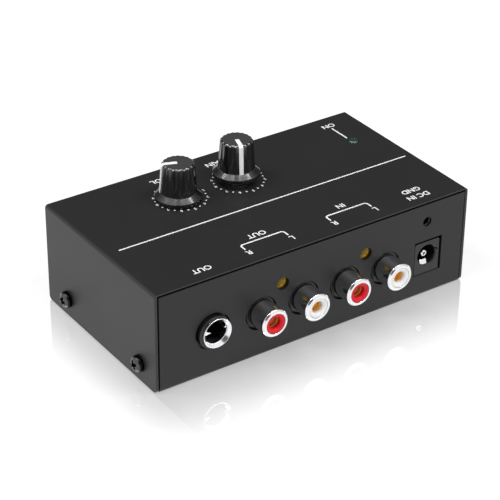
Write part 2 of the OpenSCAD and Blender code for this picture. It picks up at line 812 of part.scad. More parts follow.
module pot_housing(x) {
    color([0.12, 0.25, 0.16]) at_control(x) difference() {
        block([pot_w, pot_l, pot_h]);
        translate([0, 0, pot_floor_t]) cylinder(r = pot_well_r, h = pot_h);
        translate([0, 0, pot_ledge_z]) cylinder(r = pot_ledge_r, h = pot_h);
    }
}

module pot_bushing(x) {
    color(zinc) at_control(x) difference() {
        union() {
            translate([0, 0, pot_h]) block([pot_w + 2 * pot_leg_t, pot_l, pot_plate_t]);
            translate([0, 0, pot_h]) cylinder(d = bushing_d, h = pot_plate_t + bushing_l);
            for (side = [-1, 1]) translate([side * (pot_w + pot_leg_t) / 2, 0, 0])
                block([pot_leg_t, pot_leg_w, pot_h + pot_plate_t / 2]);
        }
        translate([0, 0, pot_h - over])
            cylinder(r = shaft_d / 2 + shaft_clear, h = pot_plate_t + bushing_l + 2 * over);
    }
}

module pot_tracks(x) {
    color(phenolic) at_control(x) {
        translate([0, 0, pot_floor_t]) cylinder(r = pot_well_r - fit, h = pot_track_t);
        translate([0, 0, pot_ledge_z])
            ring(pot_ledge_r - fit, pot_track_hole_r, pot_track_t);
    }
}

module pot_terminals(x) {
    color(zinc) at_control(x) for (i = [-1:1], side = [-1, 1])
        translate([i * terminal_pitch, side * (pot_l + terminal_t) / 2, 0])
            block([terminal_w, terminal_t, terminal_top]);
}

module pot_rotor(x) {
    color(signal_white) at_control(x) difference() {
        union() {
            translate([0, 0, rotor_z]) cylinder(r = pot_well_r - air, h = rotor_disc_t);
            translate([0, 0, rotor_z]) cylinder(r = rotor_sleeve_r, h = rotor_top - rotor_z);
            translate([0, 0, rotor_upper_z]) cylinder(r = pot_ledge_r - air, h = rotor_disc_t);
        }
        translate([0, 0, rotor_z - over]) cylinder(r = stem_r + fit, h = rotor_top + over);
    }
}

module pot_shaft(x, setting) {
    turn = dial_angle(setting);
    color(chrome) at_control(x) rotate([0, 0, turn]) difference() {
        union() {
            translate([0, 0, rotor_z]) cylinder(r = stem_r, h = rotor_top - rotor_z + over / 2);
            translate([0, 0, rotor_top]) cylinder(r = collar_r, h = collar_top - rotor_top);
            translate([0, 0, rotor_top]) cylinder(d = shaft_d, h = shaft_top - rotor_top);
        }
        translate([0, 0, shaft_top - shaft_slot_l])
            block([shaft_slot_w, shaft_d + 2 * over, shaft_slot_l + over]);
    }
}

module volume_pot_housing() { pot_housing(volume_x); }
module volume_pot_bushing() { pot_bushing(volume_x); }
module volume_pot_tracks() { pot_tracks(volume_x); }
module volume_pot_terminals() { pot_terminals(volume_x); }
module volume_pot_rotor() { pot_rotor(volume_x); }
module volume_pot_shaft() { pot_shaft(volume_x, volume_setting); }
module level_pot_housing() { pot_housing(level_x); }
module level_pot_bushing() { pot_bushing(level_x); }
module level_pot_tracks() { pot_tracks(level_x); }
module level_pot_terminals() { pot_terminals(level_x); }
module level_pot_rotor() { pot_rotor(level_x); }
module level_pot_shaft() { pot_shaft(level_x, level_setting); }

// ---------- knobs ----------

// Angle of the pointer from the socket side, anticlockwise seen from above
function dial_angle(setting) = control_travel * (0.5 - setting / 10);

module at_knob(x, gap, setting) {
    at_control(x, case_h + gap) rotate([0, 0, dial_angle(setting)]) children();
}

// White inlay that runs from the cap's centre over its edge and down to the skirt
module pointer_inlay() {
    foot_z = skirt_h - pointer_foot;
    cap_r = grip_top_r - knob_chamfer;
    outer_foot_r = grip_foot_r + pointer_proud;
    rotate([90, 0, 90]) linear_extrude(pointer_w, center = true) polygon([
        [-pointer_start, knob_h + pointer_proud], [-cap_r, knob_h + pointer_proud],
        [-grip_top_r - pointer_proud, knob_h - knob_chamfer],
        [-outer_foot_r, foot_z], [-outer_foot_r + pointer_depth + pointer_proud, foot_z],
        [-grip_top_r + pointer_depth, knob_h - knob_chamfer - pointer_depth],
        [-cap_r + pointer_depth, knob_h - pointer_depth],
        [-pointer_start, knob_h - pointer_depth]]);
}

module grip() {
    difference() {
        rotate_extrude() polygon([[0, skirt_rim_h], [grip_foot_r, skirt_rim_h],
            [grip_foot_r, skirt_h], [grip_top_r, knob_h - knob_chamfer],
            [grip_top_r - knob_chamfer, knob_h], [0, knob_h]]);
        for (i = [0:flute_count - 1]) rotate([0, 0, (i + 0.5) * 360 / flute_count])
            translate([0, -grip_foot_r - flute_r + flute_depth, skirt_h + flute_lift])
                rotate([-grip_taper, 0, 0])
                    cylinder(r = flute_r, h = knob_h, $fn = round_fn);
    }
}

module fluted_knob() {
    bore_depth = knob_h - knob_cap_t;
    color(plastic_black) difference() {
        union() {
            rotate_extrude() polygon([[0, 0], [knob_skirt_r, 0], [knob_skirt_r, skirt_rim_h],
                [grip_foot_r, skirt_h], [0, skirt_h]]);
            grip();
        }
        translate([0, 0, -over]) cylinder(r = shaft_d / 2 + fit, h = bore_depth + over);
        translate([0, 0, -over])
            ring(knob_skirt_r - skirt_recess_wall, skirt_hub_r, skirt_recess_h + over);
        pointer_inlay();
    }
}

module volume_knob() { at_knob(volume_x, volume_knob_gap, volume_setting) fluted_knob(); }
module level_knob() { at_knob(level_x, level_knob_gap, level_setting) fluted_knob(); }
module volume_knob_pointer() {
    color(signal_white) at_knob(volume_x, volume_knob_gap, volume_setting) pointer_inlay();
}
module level_knob_pointer() {
    color(signal_white) at_knob(level_x, level_knob_gap, level_setting) pointer_inlay();
}

// ---------- components on the board ----------

// Places children on the board's upper face
module on_board(place) {
    translate([place[0], place[1], board_top]) children();
}

module opamp_chips() {
    color(plastic_black) for (place = chip_places) on_board(place) {
        translate([0, 0, chip_lift]) block(chip_size);
        for (i = [0:3], side = [-1, 1]) {
            pin_x = (i - 1.5) * chip_pin_pitch;
            shoulder = (chip_row - chip_size[1]) / 2 + chip_pin[1];
            translate([pin_x, side * chip_row / 2, 0])
                block([chip_pin[0], chip_pin[1], chip_lift + chip_size[2] / 2]);
            translate([pin_x, side * (chip_size[1] + shoulder) / 2,
                chip_lift + chip_size[2] / 2 - chip_pin[1]])
                block([chip_pin[0], shoulder, chip_pin[1]]);
        }
    }
}

// Electrolytic can with the groove rolled round its foot
module can(size) {
    r = size[0];
    h = size[1];
    rotate_extrude() polygon([[0, 0], [r, 0], [r, can_groove_z - can_groove_w],
        [r - can_groove, can_groove_z], [r, can_groove_z + can_groove_w],
        [r, h - can_groove], [r - can_groove, h], [0, h]]);
}

module electrolytic_capacitors() {
    color([0.10, 0.13, 0.28]) {
        for (place = big_can_places) on_board(place) can(big_can);
        for (place = small_can_places) on_board(place) can(small_can);
    }
}

module film_capacitors() {
    color([0.62, 0.10, 0.10]) for (place = film_places) on_board(place) block(film_size);
}

module ceramic_capacitors() {
    lead_x = disc_cap[0] / 2;
    color([0.80, 0.55, 0.25]) for (place = disc_cap_places) on_board(place) {
        translate([0, disc_cap[1] / 2, disc_cap_lift + disc_cap[0]]) rotate([90, 0, 0])
            cylinder(r = disc_cap[0], h = disc_cap[1], $fn = round_fn);
        for (side = [-1, 1]) translate([side * lead_x, 0, 0])
            cylinder(r = lead_r, h = disc_cap_lift + disc_cap[0], $fn = round_fn);
    }
}

// Axial part along Y on two bent leads
module axial_part(r, length) {
    axis_z = r + resistor_lift;
    translate([0, length / 2, axis_z]) rotate([90, 0, 0])
        cylinder(r = r, h = length, $fn = round_fn);
    translate([0, resistor_span, axis_z]) rotate([90, 0, 0])
        cylinder(r = lead_r, h = 2 * resistor_span, $fn = round_fn);
    for (side = [-1, 1]) translate([0, side * resistor_span, 0])
        cylinder(r = lead_r, h = axis_z + lead_r, $fn = round_fn);
}

module resistors() {
    color([0.78, 0.68, 0.50]) for (i = [0:resistor_count - 1], y = resistor_rows)
        on_board([resistor_first_x + i * resistor_step, y]) axial_part(resistor_r, resistor_l);
}

module supply_diode() {
    color(plastic_black) on_board(diode_place) axial_part(diode_r, diode_l);
}

module voltage_regulator() {
    color(plastic_black) on_board(regulator_place) {
        translate([0, 0, regulator_lift]) difference() {
            cylinder(r = regulator_r, h = regulator_h, $fn = round_fn);
            translate([-regulator_r - over, regulator_flat, -over])
                cube([2 * (regulator_r + over), regulator_r + over, regulator_h + 2 * over]);
        }
        for (i = [-1:1]) translate([i * regulator_pin_pitch, 0, 0])
            block([regulator_pin, regulator_pin, regulator_lift + over / 2]);
    }
}

// ---------- one call per sub-part ----------

base_chassis();
top_cover();
end_screws();
board_standoffs();
circuit_board();
board_screws();
phone_jack_housing();
phone_jack_ferrule();
phone_jack_tip_spring();
phone_jack_ring_spring();
phone_jack_sleeve_spring();
output_rca_housing();
input_rca_housing();
output_rca_ground_plate();
input_rca_ground_plate();
output_right_shell();
output_left_shell();
input_right_shell();
input_left_shell();
output_right_insulator();
output_left_insulator();
input_right_insulator();
input_left_insulator();
output_right_contact();
output_left_contact();
input_right_contact();
input_left_contact();
rca_rivets();
dc_jack_housing();
dc_jack_pin();
dc_jack_spring();
ground_nut();
power_led();
led_spacer();
led_leads();
volume_pot_housing();
volume_pot_bushing();
volume_pot_tracks();
volume_pot_terminals();
volume_pot_rotor();
volume_pot_shaft();
volume_knob();
volume_knob_pointer();
level_pot_housing();
level_pot_bushing();
level_pot_tracks();
level_pot_terminals();
level_pot_rotor();
level_pot_shaft();
level_knob();
level_knob_pointer();
opamp_chips();
electrolytic_capacitors();
film_capacitors();
ceramic_capacitors();
resistors();
voltage_regulator();
supply_diode();
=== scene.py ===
"""Looks of a compact two-knob phono preamplifier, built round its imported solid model.

Lengths are in metres. X runs along the socket panel, the panel faces -Y and Z is up.
"""
import json
import math

import bmesh
import bpy
from mathutils import Matrix, Vector


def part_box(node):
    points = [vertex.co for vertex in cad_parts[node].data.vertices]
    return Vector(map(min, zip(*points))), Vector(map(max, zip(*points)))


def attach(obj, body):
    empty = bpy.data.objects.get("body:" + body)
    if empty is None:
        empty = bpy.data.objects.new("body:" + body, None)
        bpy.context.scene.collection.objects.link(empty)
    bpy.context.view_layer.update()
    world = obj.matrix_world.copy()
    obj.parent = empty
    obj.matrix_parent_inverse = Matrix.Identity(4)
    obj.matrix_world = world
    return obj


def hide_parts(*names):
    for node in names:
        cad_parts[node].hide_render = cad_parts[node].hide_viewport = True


bl_info = {
    "name": "Phono preamplifier",
    "version": (1, 0, 0),
    "blender": (4, 5, 0),
    "location": "3D View > Sidebar > Preamplifier",
    "description": "Builds the case, sockets, knobs and finishes of a phono preamplifier",
    "category": "Object",
}

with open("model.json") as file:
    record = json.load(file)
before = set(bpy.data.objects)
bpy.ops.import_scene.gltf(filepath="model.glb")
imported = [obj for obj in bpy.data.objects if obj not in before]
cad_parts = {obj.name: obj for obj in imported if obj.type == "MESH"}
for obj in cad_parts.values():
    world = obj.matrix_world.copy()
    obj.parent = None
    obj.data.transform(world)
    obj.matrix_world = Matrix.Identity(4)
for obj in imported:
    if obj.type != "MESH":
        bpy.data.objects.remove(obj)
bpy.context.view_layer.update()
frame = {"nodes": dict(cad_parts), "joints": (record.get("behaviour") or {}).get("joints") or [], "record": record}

MM = 0.001
OVER = 1 * MM                 # how far a cutter runs past a face
NEAR = 1e-6                   # places closer than this count as one
MERGE = 1e-7                  # vertices closer than this are merged
TURN = 2 * math.pi
X, Y, Z = range(3)
SHARP = math.radians(40)      # an edge that turns more than this gets its rounding
LEVEL = 0.99                  # share of its normal on an axis that makes a face square to it
COVER_LO, COVER_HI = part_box("top_cover")
CHASSIS_LO, CHASSIS_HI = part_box("base_chassis")
PANEL_Y = CHASSIS_LO.y        # outer face of the socket panel
TOP_Z = COVER_HI.z            # upper face of the cover
RCA_SOCKETS = ("output_right", "output_left", "input_right", "input_left")
CONTROLS = ("volume", "level")


def middle(node):
    """Centre of a solid's box."""
    lo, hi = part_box(node)
    return (lo + hi) / 2


def joint_of(control):
    """The joint that a knob turns on."""
    return next(j for j in frame["joints"] if j["name"] == control + "_turn")


def rest_turn(control):
    """Angle of a knob's pointer at rest, anticlockwise from -Y: the stops lie evenly about -Y."""
    return math.radians(-sum(joint_of(control)["range_deg"]) / 2)


# ---------- sizes and colours ----------

def length(name, description, millimetres):
    return bpy.props.FloatProperty(
        name=name, description=description, default=millimetres * MM, unit="LENGTH", precision=5)


def angle(name, description, degrees):
    return bpy.props.FloatProperty(
        name=name, description=description, default=math.radians(degrees), unit="ROTATION")


def number(name, description, default):
    return bpy.props.FloatProperty(name=name, description=description, default=default, precision=4)


def count(name, description, default):
    return bpy.props.IntProperty(name=name, description=description, default=default)


def colour(name, description, *rgb):
    return bpy.props.FloatVectorProperty(
        name=name, description=description, default=rgb, size=3, subtype="COLOR", min=0, max=1)


class PREAMP_PG_case(bpy.types.PropertyGroup):
    sheet: length("Sheet", "Thickness of the steel sheet", 0.8)
    fold_radius: length("Fold", "Outer radius of the sheet's folds", 1)
    lip: length("Lip", "Thickness left at the top's long edges, which the panels tuck under", 0.4)
    tucked: length("Tucked", "How far the panels reach up into that recess", 0.27)
    corner_radius: length("Corner", "Radius of the end walls' lower corners", 1.3)
    edge: length("Cut edge", "Rounding that the coating gives a cut edge", 0.2)
    left_seam: length("Left seam", "Gap of cover and chassis beside the phone jack", 0.5)
    right_seam: length("Right seam", "Gap of cover and chassis beside the inlet", 0.25)
    shaft_hole: length("Shaft hole", "Radius of the holes round the control shafts", 3.75)
    lamp_hole: length("Lamp hole", "Radius of the indicator's hole", 1.65)
    screw_hole: length("Screw hole", "Radius of the end screws' holes", 1.7)
    tab_width: length("Tab width", "Width of the tabs that the end screws grip", 10)
    tab_gap: length("Tab gap", "Slit at each side of a tab", 0.5)
    tab_rise: length("Tab rise", "How far a tab rises over its screw's axis", 4)
    tapped_hole: length("Tapped hole", "Radius of the holes in the tabs", 1.5)
    rca_hole: length("RCA hole", "Radius of an RCA socket's hole in the panel", 5.1)
    phone_hole: length("Phone hole", "Radius of the phone jack's hole in the panel", 5.5)
    rivet_hole: length("Rivet hole", "Radius of the holes in front of the rivets", 1.95)
    ground_hole: length("Ground hole", "Radius of the ground terminal's hole", 1.5)
    inlet_gap: length("Inlet gap", "Gap round the power inlet", 0.3)
    inlet_foot: length("Inlet foot", "Gap under the power inlet", 0.06)
    inlet_room: length("Inlet room", "Further room above the inlet and towards the end", 0.4)


class PREAMP_PG_sockets(bpy.types.PropertyGroup):
    barrel_radius: length("Barrel", "Radius of an RCA barrel", 4.15)
    stem_radius: length("Stem", "Radius of the barrel's stem inside the panel", 3.85)
    bore_radius: length("Bore", "Inner radius of an RCA barrel", 3.25)
    lip_chamfer: length("Lip", "Bevel round the mouth of an RCA barrel", 0.5)
    face_radius: length("Face", "Radius of the coloured face of an RCA socket", 3.05)
    pin_hole: length("Pin hole", "Radius of the hole in an RCA socket's face", 1.75)
    funnel_radius: length("Funnel", "Radius at which a face sinks towards its hole", 2.3)
    funnel_depth: length("Funnel depth", "Depth of that sink", 0.5)
    pin_recess: length("Pin recess", "Depth of an RCA contact behind the face", 1.6)
    leaf_depth: length("Leaf depth", "Depth at which a contact's leaves meet", 1.4)
    ferrule_radius: length("Ferrule", "Outer radius of the phone jack's ring", 4.43)
    ferrule_play: length("Ferrule play", "How far the ring sits to the right in its hole", 0.36)
    phone_bore: length("Phone bore", "Radius of the phone jack's bore", 3.3)
    inlet_hole: length("Inlet hole", "Radius of the power inlet's hole", 3.15)
    inlet_pin: length("Inlet pin", "Radius of the power inlet's pin", 1.05)
    thread_radius: length("Thread", "Outer radius of the ground terminal's thread", 1.5)
    thread_pitch: length("Pitch", "Pitch of the ground terminal's thread", 0.5)


class PREAMP_PG_knobs(bpy.types.PropertyGroup):
    grip_foot: length("Grip foot", "Radius of the grip at its foot", 5.3)
    grip_top: length("Grip top", "Radius of the grip at its top", 4.7)
    rim_height: length("Rim height", "Height of the skirt's cylindrical rim", 1.1)
    skirt_height: length("Skirt height", "Height at which the grip leaves the skirt", 2.3)
    cap_edge: length("Cap edge", "Bevel round the cap", 0.4)
    shaft_bore: length("Shaft bore", "Radius of the bore for the shaft", 3.03)
    flutes: count("Flutes", "Number of flutes round a grip", 18)
    flute_depth: length("Flute depth", "Depth of a flute", 0.38)
    flute_width: number("Flute width", "Share of the grip's round that the flutes take", 0.72)
    pointer_width: length("Pointer", "Width of the white pointer", 1.2)
    pointer_proud: length("Pointer height", "How far the pointer stands out of the grip", 0.1)


class PREAMP_PG_print(bpy.types.PropertyGroup):
    ink: length("Ink", "Thickness of the printed ink", 0.02)
    line: length("Line", "Width of the thin printed lines", 0.45)
    rule: length("Rule", "Width of the long printed rule", 0.42)
    label: length("Label height", "Height of the labels' capitals", 2)
    digit: length("Digit height", "Height of the dials' numbers", 1.05)
    dot: length("Dot", "Radius of the dials' dots", 0.28)
    dial_radius: length("Dial radius", "Radius of the ring of numbers", 7.6)
    dot_radius: length("Dot ring", "Radius of the ring of dots", 7.3)


class PREAMP_PG_finish(bpy.types.PropertyGroup):
    coat: colour("Coating", "Black powder coat", 0.012, 0.012, 0.0125)
    plastic: colour("Plastic", "Moulded black plastic", 0.006, 0.006, 0.006)
    knob: colour("Knob", "Black knob plastic", 0.003, 0.003, 0.003)
    ink: colour("Ink", "White printing ink", 0.93, 0.93, 0.93)
    red: colour("Red", "Right channel's plastic", 0.66, 0.008, 0.02)
    white: colour("White", "Left channel's plastic", 0.86, 0.86, 0.85)
    lamp: colour("Lamp", "Tinted lens of the indicator, unlit", 0.004, 0.035, 0.022)
    brass: colour("Brass", "Gold-flashed brass", 0.82, 0.41, 0.07)
    # painted light: the red plastic's glow is painted into this brass colour
    brass_painted_red_glow: colour("Brass in red", "Brass in the red plastic's glow", 0.62, 0.26, 0.07)
    rivet: colour("Rivet", "Plain brass of the rivets", 0.36, 0.23, 0.03)
    chrome: colour("Chrome", "Bright plate", 0.86, 0.87, 0.89)
    board: colour("Board", "Solder mask of the circuit board", 0.012, 0.12, 0.05)


class PREAMP_PG_stage(bpy.types.PropertyGroup):
    azimuth: angle("Azimuth", "Camera's turn from the socket panel's front", -34.708)
    elevation: angle("Elevation", "Camera's height above the horizon", 30.861)
    roll: angle("Roll", "Camera's roll", 0.587)
    distance: length("Distance", "Camera's distance", 544.93)
    right: length("Right", "Camera's move to its right", -2.225)
    rise: length("Rise", "Camera's move along its upward direction", 11.126)
    lens: number("Lens", "Focal length in millimetres on a 36 mm frame", 136.71)
    floor: length("Floor", "Half the width of the floor", 6000)
    matt: number("Matt", "Tone of the floor's own surface where it shows", 0.3)
    glow: number("Glow", "Light that whitens the floor where it shows", 0.74)
    shade: number("Shade", "Tone of the floor that lights the case", 0.7)
    gloss: number("Gloss", "Mirror share of the floor beside the case", 0.46)
    gloss_end: length("Gloss end", "Distance at which the floor's mirror is gone", 31)
    gloss_fade: number("Gloss fade", "Squared speed of that fading beside the ends", 3.3)
    gloss_step: number("Gloss step", "Share of the mirror lost right beside the ends", 0.2)
    dim: colour("Dim", "Dim part of the room, behind the case", 0.13, 0.13, 0.13)
    dim_start: number("Dim start", "Cosine off its middle at which that part begins", 0.25)
    dim_full: number("Dim full", "Cosine off its middle within which it is full", 0.72)
    viewer: colour("Viewer", "Dim part of the room round the viewer", 0.14, 0.12, 0.125)
    viewer_start: number("Viewer start", "Cosine at which that part begins", 0.915)
    viewer_full: number("Viewer full", "Cosine within which it is full", 0.95)
    strip_distance: length("Strip distance", "Distance of the strip softboxes", 800)
    strip_length: length("Strip length", "Length of the strip softboxes", 560)
    strip_width: length("Strip width", "Width of the strip softboxes", 80)
    left: number("Left strip", "Power of the left strip softbox in watts", 2.8)
    right_lamp: number("Right strip", "Power of the right strip softbox in watts", 2.2)


# ---------- node materials ----------

class Value:
    """A node's output whose arithmetic adds Math nodes."""

    def __init__(self, tree, socket):
        self.tree = tree
        self.socket = socket

    def math(self, operation, *values):
        """Math node on the given values."""
        return node(self.tree, "Math", {"operation": operation}, dict(enumerate(values)))

    def __add__(self, other):
        return self.math("ADD", self, other)

    def __sub__(self, other):
        return self.math("SUBTRACT", self, other)

    def __rsub__(self, other):
        return self.math("SUBTRACT", other, self)

    def __mul__(self, other):
        return self.math("MULTIPLY", self, other)

    def __pow__(self, other):
        return self.math("POWER", self, other)

    __radd__ = __add__
    __rmul__ = __mul__

    def at_least(self, other):
        return self.math("MAXIMUM", self, other)

    def size(self):
        return self.math("ABSOLUTE", self)

    def smooth(self, low, high):
        """0 below low and 1 above high, with a soft change between them."""
        return node(self.tree, "MapRange", {"interpolation_type": "SMOOTHSTEP"},
                    {"Value": self, "From Min": low, "From Max": high})


def node(tree, kind, settings=None, inputs=None, output=0):
    """Adds a node, with its settings first and then the values or links of its sockets."""
    made = tree.nodes.new("ShaderNode" + kind)
    for name, value in (settings or {}).items():
        setattr(made, name, value)
    for name, value in (inputs or {}).items():
        if isinstance(value, Value):
            tree.links.new(value.socket, made.inputs[name])
        else:
            made.inputs[name].default_value = value
    return Value(tree, made.outputs[output]) if len(made.outputs) else None


def blend(tree, share, first, second):
    """Mixes two colours."""
    first, second = [v if isinstance(v, Value) else (*v, 1) for v in (first, second)]
    return node(tree, "Mix", {"data_type": "RGBA"}, {0: share, 6: first, 7: second}, output=2)


def new_tree(name):
    """An empty node material."""
    material = bpy.data.materials.new(name)
    material.use_nodes = True
    material.node_tree.nodes.clear()
    return material, material.node_tree


def place_of(tree, scale=(1, 1, 1)):
    """Object coordinates, stretched by a scale."""
    where = node(tree, "TexCoord", output="Object")
    return node(tree, "Mapping", {}, {"Vector": where, "Scale": scale})


def along(tree, vector, axis):
    """One coordinate of a vector."""
    return node(tree, "SeparateXYZ", {}, {0: vector}, output=axis)


def noise(tree, where, grain, detail):
    """Noise of a given grain size."""
    return node(tree, "TexNoise", {}, {"Vector": where, "Scale": 1 / grain, "Detail": detail})


def bump(tree, height, depth, strength=1.0):
    """Normal of a surface with the given relief, depth deep."""
    return node(tree, "Bump", {}, {"Height": height, "Distance": depth, "Strength": strength})


def finish_with(material, tree, base, roughness, normal, **plain):
    """Ends a material in a Principled shader; plain holds its uniform sockets."""
    inputs = {"Base Color": base, "Roughness": roughness, "Normal": normal}
    inputs.update((name.replace("_", " "), value) for name, value in plain.items())
    shader = node(tree, "BsdfPrincipled", {}, inputs)
    node(tree, "OutputMaterial", {}, {"Surface": shader})
    return material


def scaled(rgb, factor):
    """A colour made darker or lighter."""
    return tuple(min(1.0, c * factor) for c in rgb)


def powder_coat(name, finish, gloss):
    """Satin coat with a fine orange-peel texture and slightly uneven gloss."""
    material, tree = new_tree(name)
    where = place_of(tree)
    grain = noise(tree, where, 0.34 * MM, 2)
    fine = noise(tree, where, 0.13 * MM, 1)
    cloud = noise(tree, where, 14 * MM, 3)
    tone = grain * 0.6 + cloud * 0.4
    base = blend(tree, tone, scaled(finish.coat, 0.75), scaled(finish.coat, 1.3))
    roughness = 0.40 + grain * 0.10 + cloud * 0.06
    normal = bump(tree, grain + fine * 0.35, 0.035 * MM, 0.8)
    return finish_with(material, tree, base, roughness, normal, Specular_IOR_Level=gloss)


def plastic(name, rgb, roughness, grain=0.25 * MM, depth=0.008 * MM, cloud_size=5 * MM, **plain):
    """Moulded plastic: a faint spark-eroded grain and slow changes of tone and gloss."""
    material, tree = new_tree(name)
    where = place_of(tree)
    skin = noise(tree, where, grain, 2)
    cloud = noise(tree, where, cloud_size, 2)
    base = blend(tree, cloud, scaled(rgb, 0.85), scaled(rgb, 1.15))
    gloss = roughness * 0.85 + cloud * (roughness * 0.2) + skin * (roughness * 0.1)
    return finish_with(material, tree, base, gloss, bump(tree, skin, depth), **plain)


def knob_moulding(finish):
    """Glossy black sides under a matt cap, told apart by how level the surface is; the cap's paler tone is a
    painted sheen.
    """
    material, tree = new_tree("knob_moulding")
    where = place_of(tree)
    skin = noise(tree, where, 0.22 * MM, 2)
    cap = along(tree, node(tree, "NewGeometry", output="Normal"), Z).smooth(0.85, 0.97)
    # painted sheen: the level cap's base is 11 times paler than the sides; its higher roughness below is real
    base = blend(tree, cap, finish.knob, scaled(finish.knob, 11))
    roughness = 0.12 + skin * 0.05 + cap * 0.30
    return finish_with(material, tree, base, roughness, bump(tree, skin, 0.004 * MM),
                       Specular_IOR_Level=1.0)


def turned_metal(name, rgb, roughness, lathe_axis, depth=0.002 * MM, tarnish=0.12):
    """Plated metal: fine tool marks round an axis under the plate, and a trace of tarnish."""
    material, tree = new_tree(name)
    stretch = [0.04, 0.04, 0.04]
    stretch[lathe_axis] = 1
    marks = noise(tree, place_of(tree, scale=stretch), 0.07 * MM, 2)
    smudge = noise(tree, place_of(tree), 1.6 * MM, 3)
    base = blend(tree, smudge * (tarnish * 2), rgb, scaled(rgb, 0.72))
    gloss = roughness + marks * 0.05 + smudge * 0.08
    return finish_with(material, tree, base, gloss, bump(tree, marks, depth), Metallic=1.0)


def black_oxide_painted_shade():
    """Black oxide with painted light and shade: deep black on a head's side and in its recess as painted shade,
    paler on its crown as painted light.
    """
    material, tree = new_tree("black_oxide_painted_shade")
    marks = noise(tree, place_of(tree), 0.5 * MM, 2)
    normal = node(tree, "NewGeometry", output="Normal")
    # painted light and shade: the crown facing out of the end wall is paler, the head's side and its recess darker
    painted_crown_light = along(tree, normal, X).size().smooth(0.3, 0.7)
    base = blend(tree, painted_crown_light, (0.012, 0.012, 0.012), (0.09, 0.09, 0.092))
    return finish_with(material, tree, base, 0.2 + marks * 0.1, bump(tree, marks, 0.003 * MM),
                       Metallic=1.0)


def solder_mask(finish):
    """Circuit board: green mask over faint copper tracks."""
    material, tree = new_tree("green_solder_mask")
    where = place_of(tree)
    tracks = node(tree, "TexBrick", {"offset": 0.5},
                  {"Vector": where, "Scale": 1 / (4 * MM), "Mortar Size": 0.04,
                   "Mortar Smooth": 0.2, "Color1": (0, 0, 0, 1), "Color2": (0, 0, 0, 1),
                   "Mortar": (1, 1, 1, 1)}, output="Fac")
    base = blend(tree, tracks, finish.board, scaled(finish.board, 1.9))
    weave = noise(tree, where, 0.4 * MM, 1)
    normal = bump(tree, tracks + weave * 0.2, 0.03 * MM)
    return finish_with(material, tree, base, 0.3 + weave * 0.15, normal)


def banded(name, rgb, band, spacing, roughness, axis):
    """Lacquered component with coloured rings across an axis."""
    material, tree = new_tree(name)
    where = place_of(tree)
    run = along(tree, where, axis)
    ring = run.math("PINGPONG", run, spacing / 2).smooth(0.30 * spacing, 0.36 * spacing)
    speck = noise(tree, where, 0.3 * MM, 2)
    base = blend(tree, ring, blend(tree, speck, scaled(rgb, 0.85), scaled(rgb, 1.1)), band)
    return finish_with(material, tree, base, roughness + speck * 0.1, bump(tree, speck, 0.01 * MM))


def make_finishes(finish):
    """One node material for each material slot of the model."""
    silver = (0.66, 0.67, 0.69)
    return {
        "black_case": powder_coat("cover_powder_coat", finish, 0.5),
        "chassis_coat": powder_coat("chassis_powder_coat", finish, 0.36),
        "black_screw": black_oxide_painted_shade(),
        # painted shade: the ground nut shows far darker than its zinc slot, so that its hole reads black
        "nut_with_painted_shade": turned_metal("zinc_with_painted_shade", (0.09, 0.09, 0.09), 0.2, Y, 0.003 * MM),
        "zinc": turned_metal("bright_zinc", silver, 0.28, Z, 0.003 * MM, 0.25),
        "board_green": solder_mask(finish),
        "black_housing": plastic("black_moulding", finish.plastic, 0.38),
        "bright_chrome": turned_metal("bright_nickel", finish.chrome, 0.10, Y, 0.0015 * MM),
        "dark_chrome": turned_metal("polished_nickel", finish.chrome, 0.08, Y, 0.0015 * MM, 0.2),
        "spring_brass": turned_metal("plated_spring", (0.80, 0.70, 0.50), 0.2, X),
        "gold_brass": turned_metal("gold_flash", finish.brass, 0.42, Y, 0.003 * MM, 0.2),
        # the red sockets' contacts carry the red plastic's glow as painted light
        "brass_with_painted_red_glow": turned_metal("gold_flash_painted_red_glow", finish.brass_painted_red_glow, 0.42, Y, 0.003 * MM,
                                      0.3),
        "rivet_brass": turned_metal("plain_brass", finish.rivet, 0.3, Y, 0.003 * MM, 0.5),
        "signal_red": plastic("red_moulding", finish.red, 0.34, 0.2 * MM, 0.004 * MM, 2 * MM,
                              Specular_IOR_Level=0.25),
        "signal_white": plastic("white_moulding", finish.white, 0.32, 0.2 * MM, 0.004 * MM, 2 * MM),
        "knob_black": knob_moulding(finish),
        "pointer_white": plastic("white_ink", finish.ink, 0.45, 0.15 * MM, 0.004 * MM, 4 * MM),
        "shaft_metal": turned_metal("turned_aluminium", (0.74, 0.75, 0.77), 0.3, Z, 0.006 * MM),
        "pot_plastic": plastic("green_moulding", (0.012, 0.075, 0.035), 0.45),
        "phenolic": banded("carbon_track", (0.20, 0.10, 0.04), (0.01, 0.01, 0.01), 3 * MM, 0.4, X),
        "rotor_white": plastic("nylon_moulding", (0.78, 0.78, 0.74), 0.4),
        "lamp_green": plastic("tinted_lens", finish.lamp, 0.12, 0.5 * MM, 0.002 * MM, 2 * MM,
                              Coat_Weight=1.0, Coat_Roughness=0.04),
        "chip_black": plastic("epoxy_package", (0.018, 0.018, 0.019), 0.55, 0.12 * MM, 0.02 * MM),
        "can_sleeve": banded("shrink_sleeve", (0.01, 0.02, 0.10), (0.45, 0.47, 0.5), 16 * MM, 0.25,
                             X),
        "film_red": plastic("dipped_epoxy", (0.36, 0.02, 0.015), 0.3, 1.0 * MM, 0.05 * MM),
        "disc_ceramic": plastic("disc_lacquer", (0.62, 0.28, 0.06), 0.4, 0.5 * MM, 0.03 * MM),
        "resistor_lacquer": banded("resistor_lacquer", (0.58, 0.42, 0.22), (0.15, 0.03, 0.02),
                                   1.6 * MM, 0.35, Y),
    }


FINISHES = {}


# ---------- shapes ----------

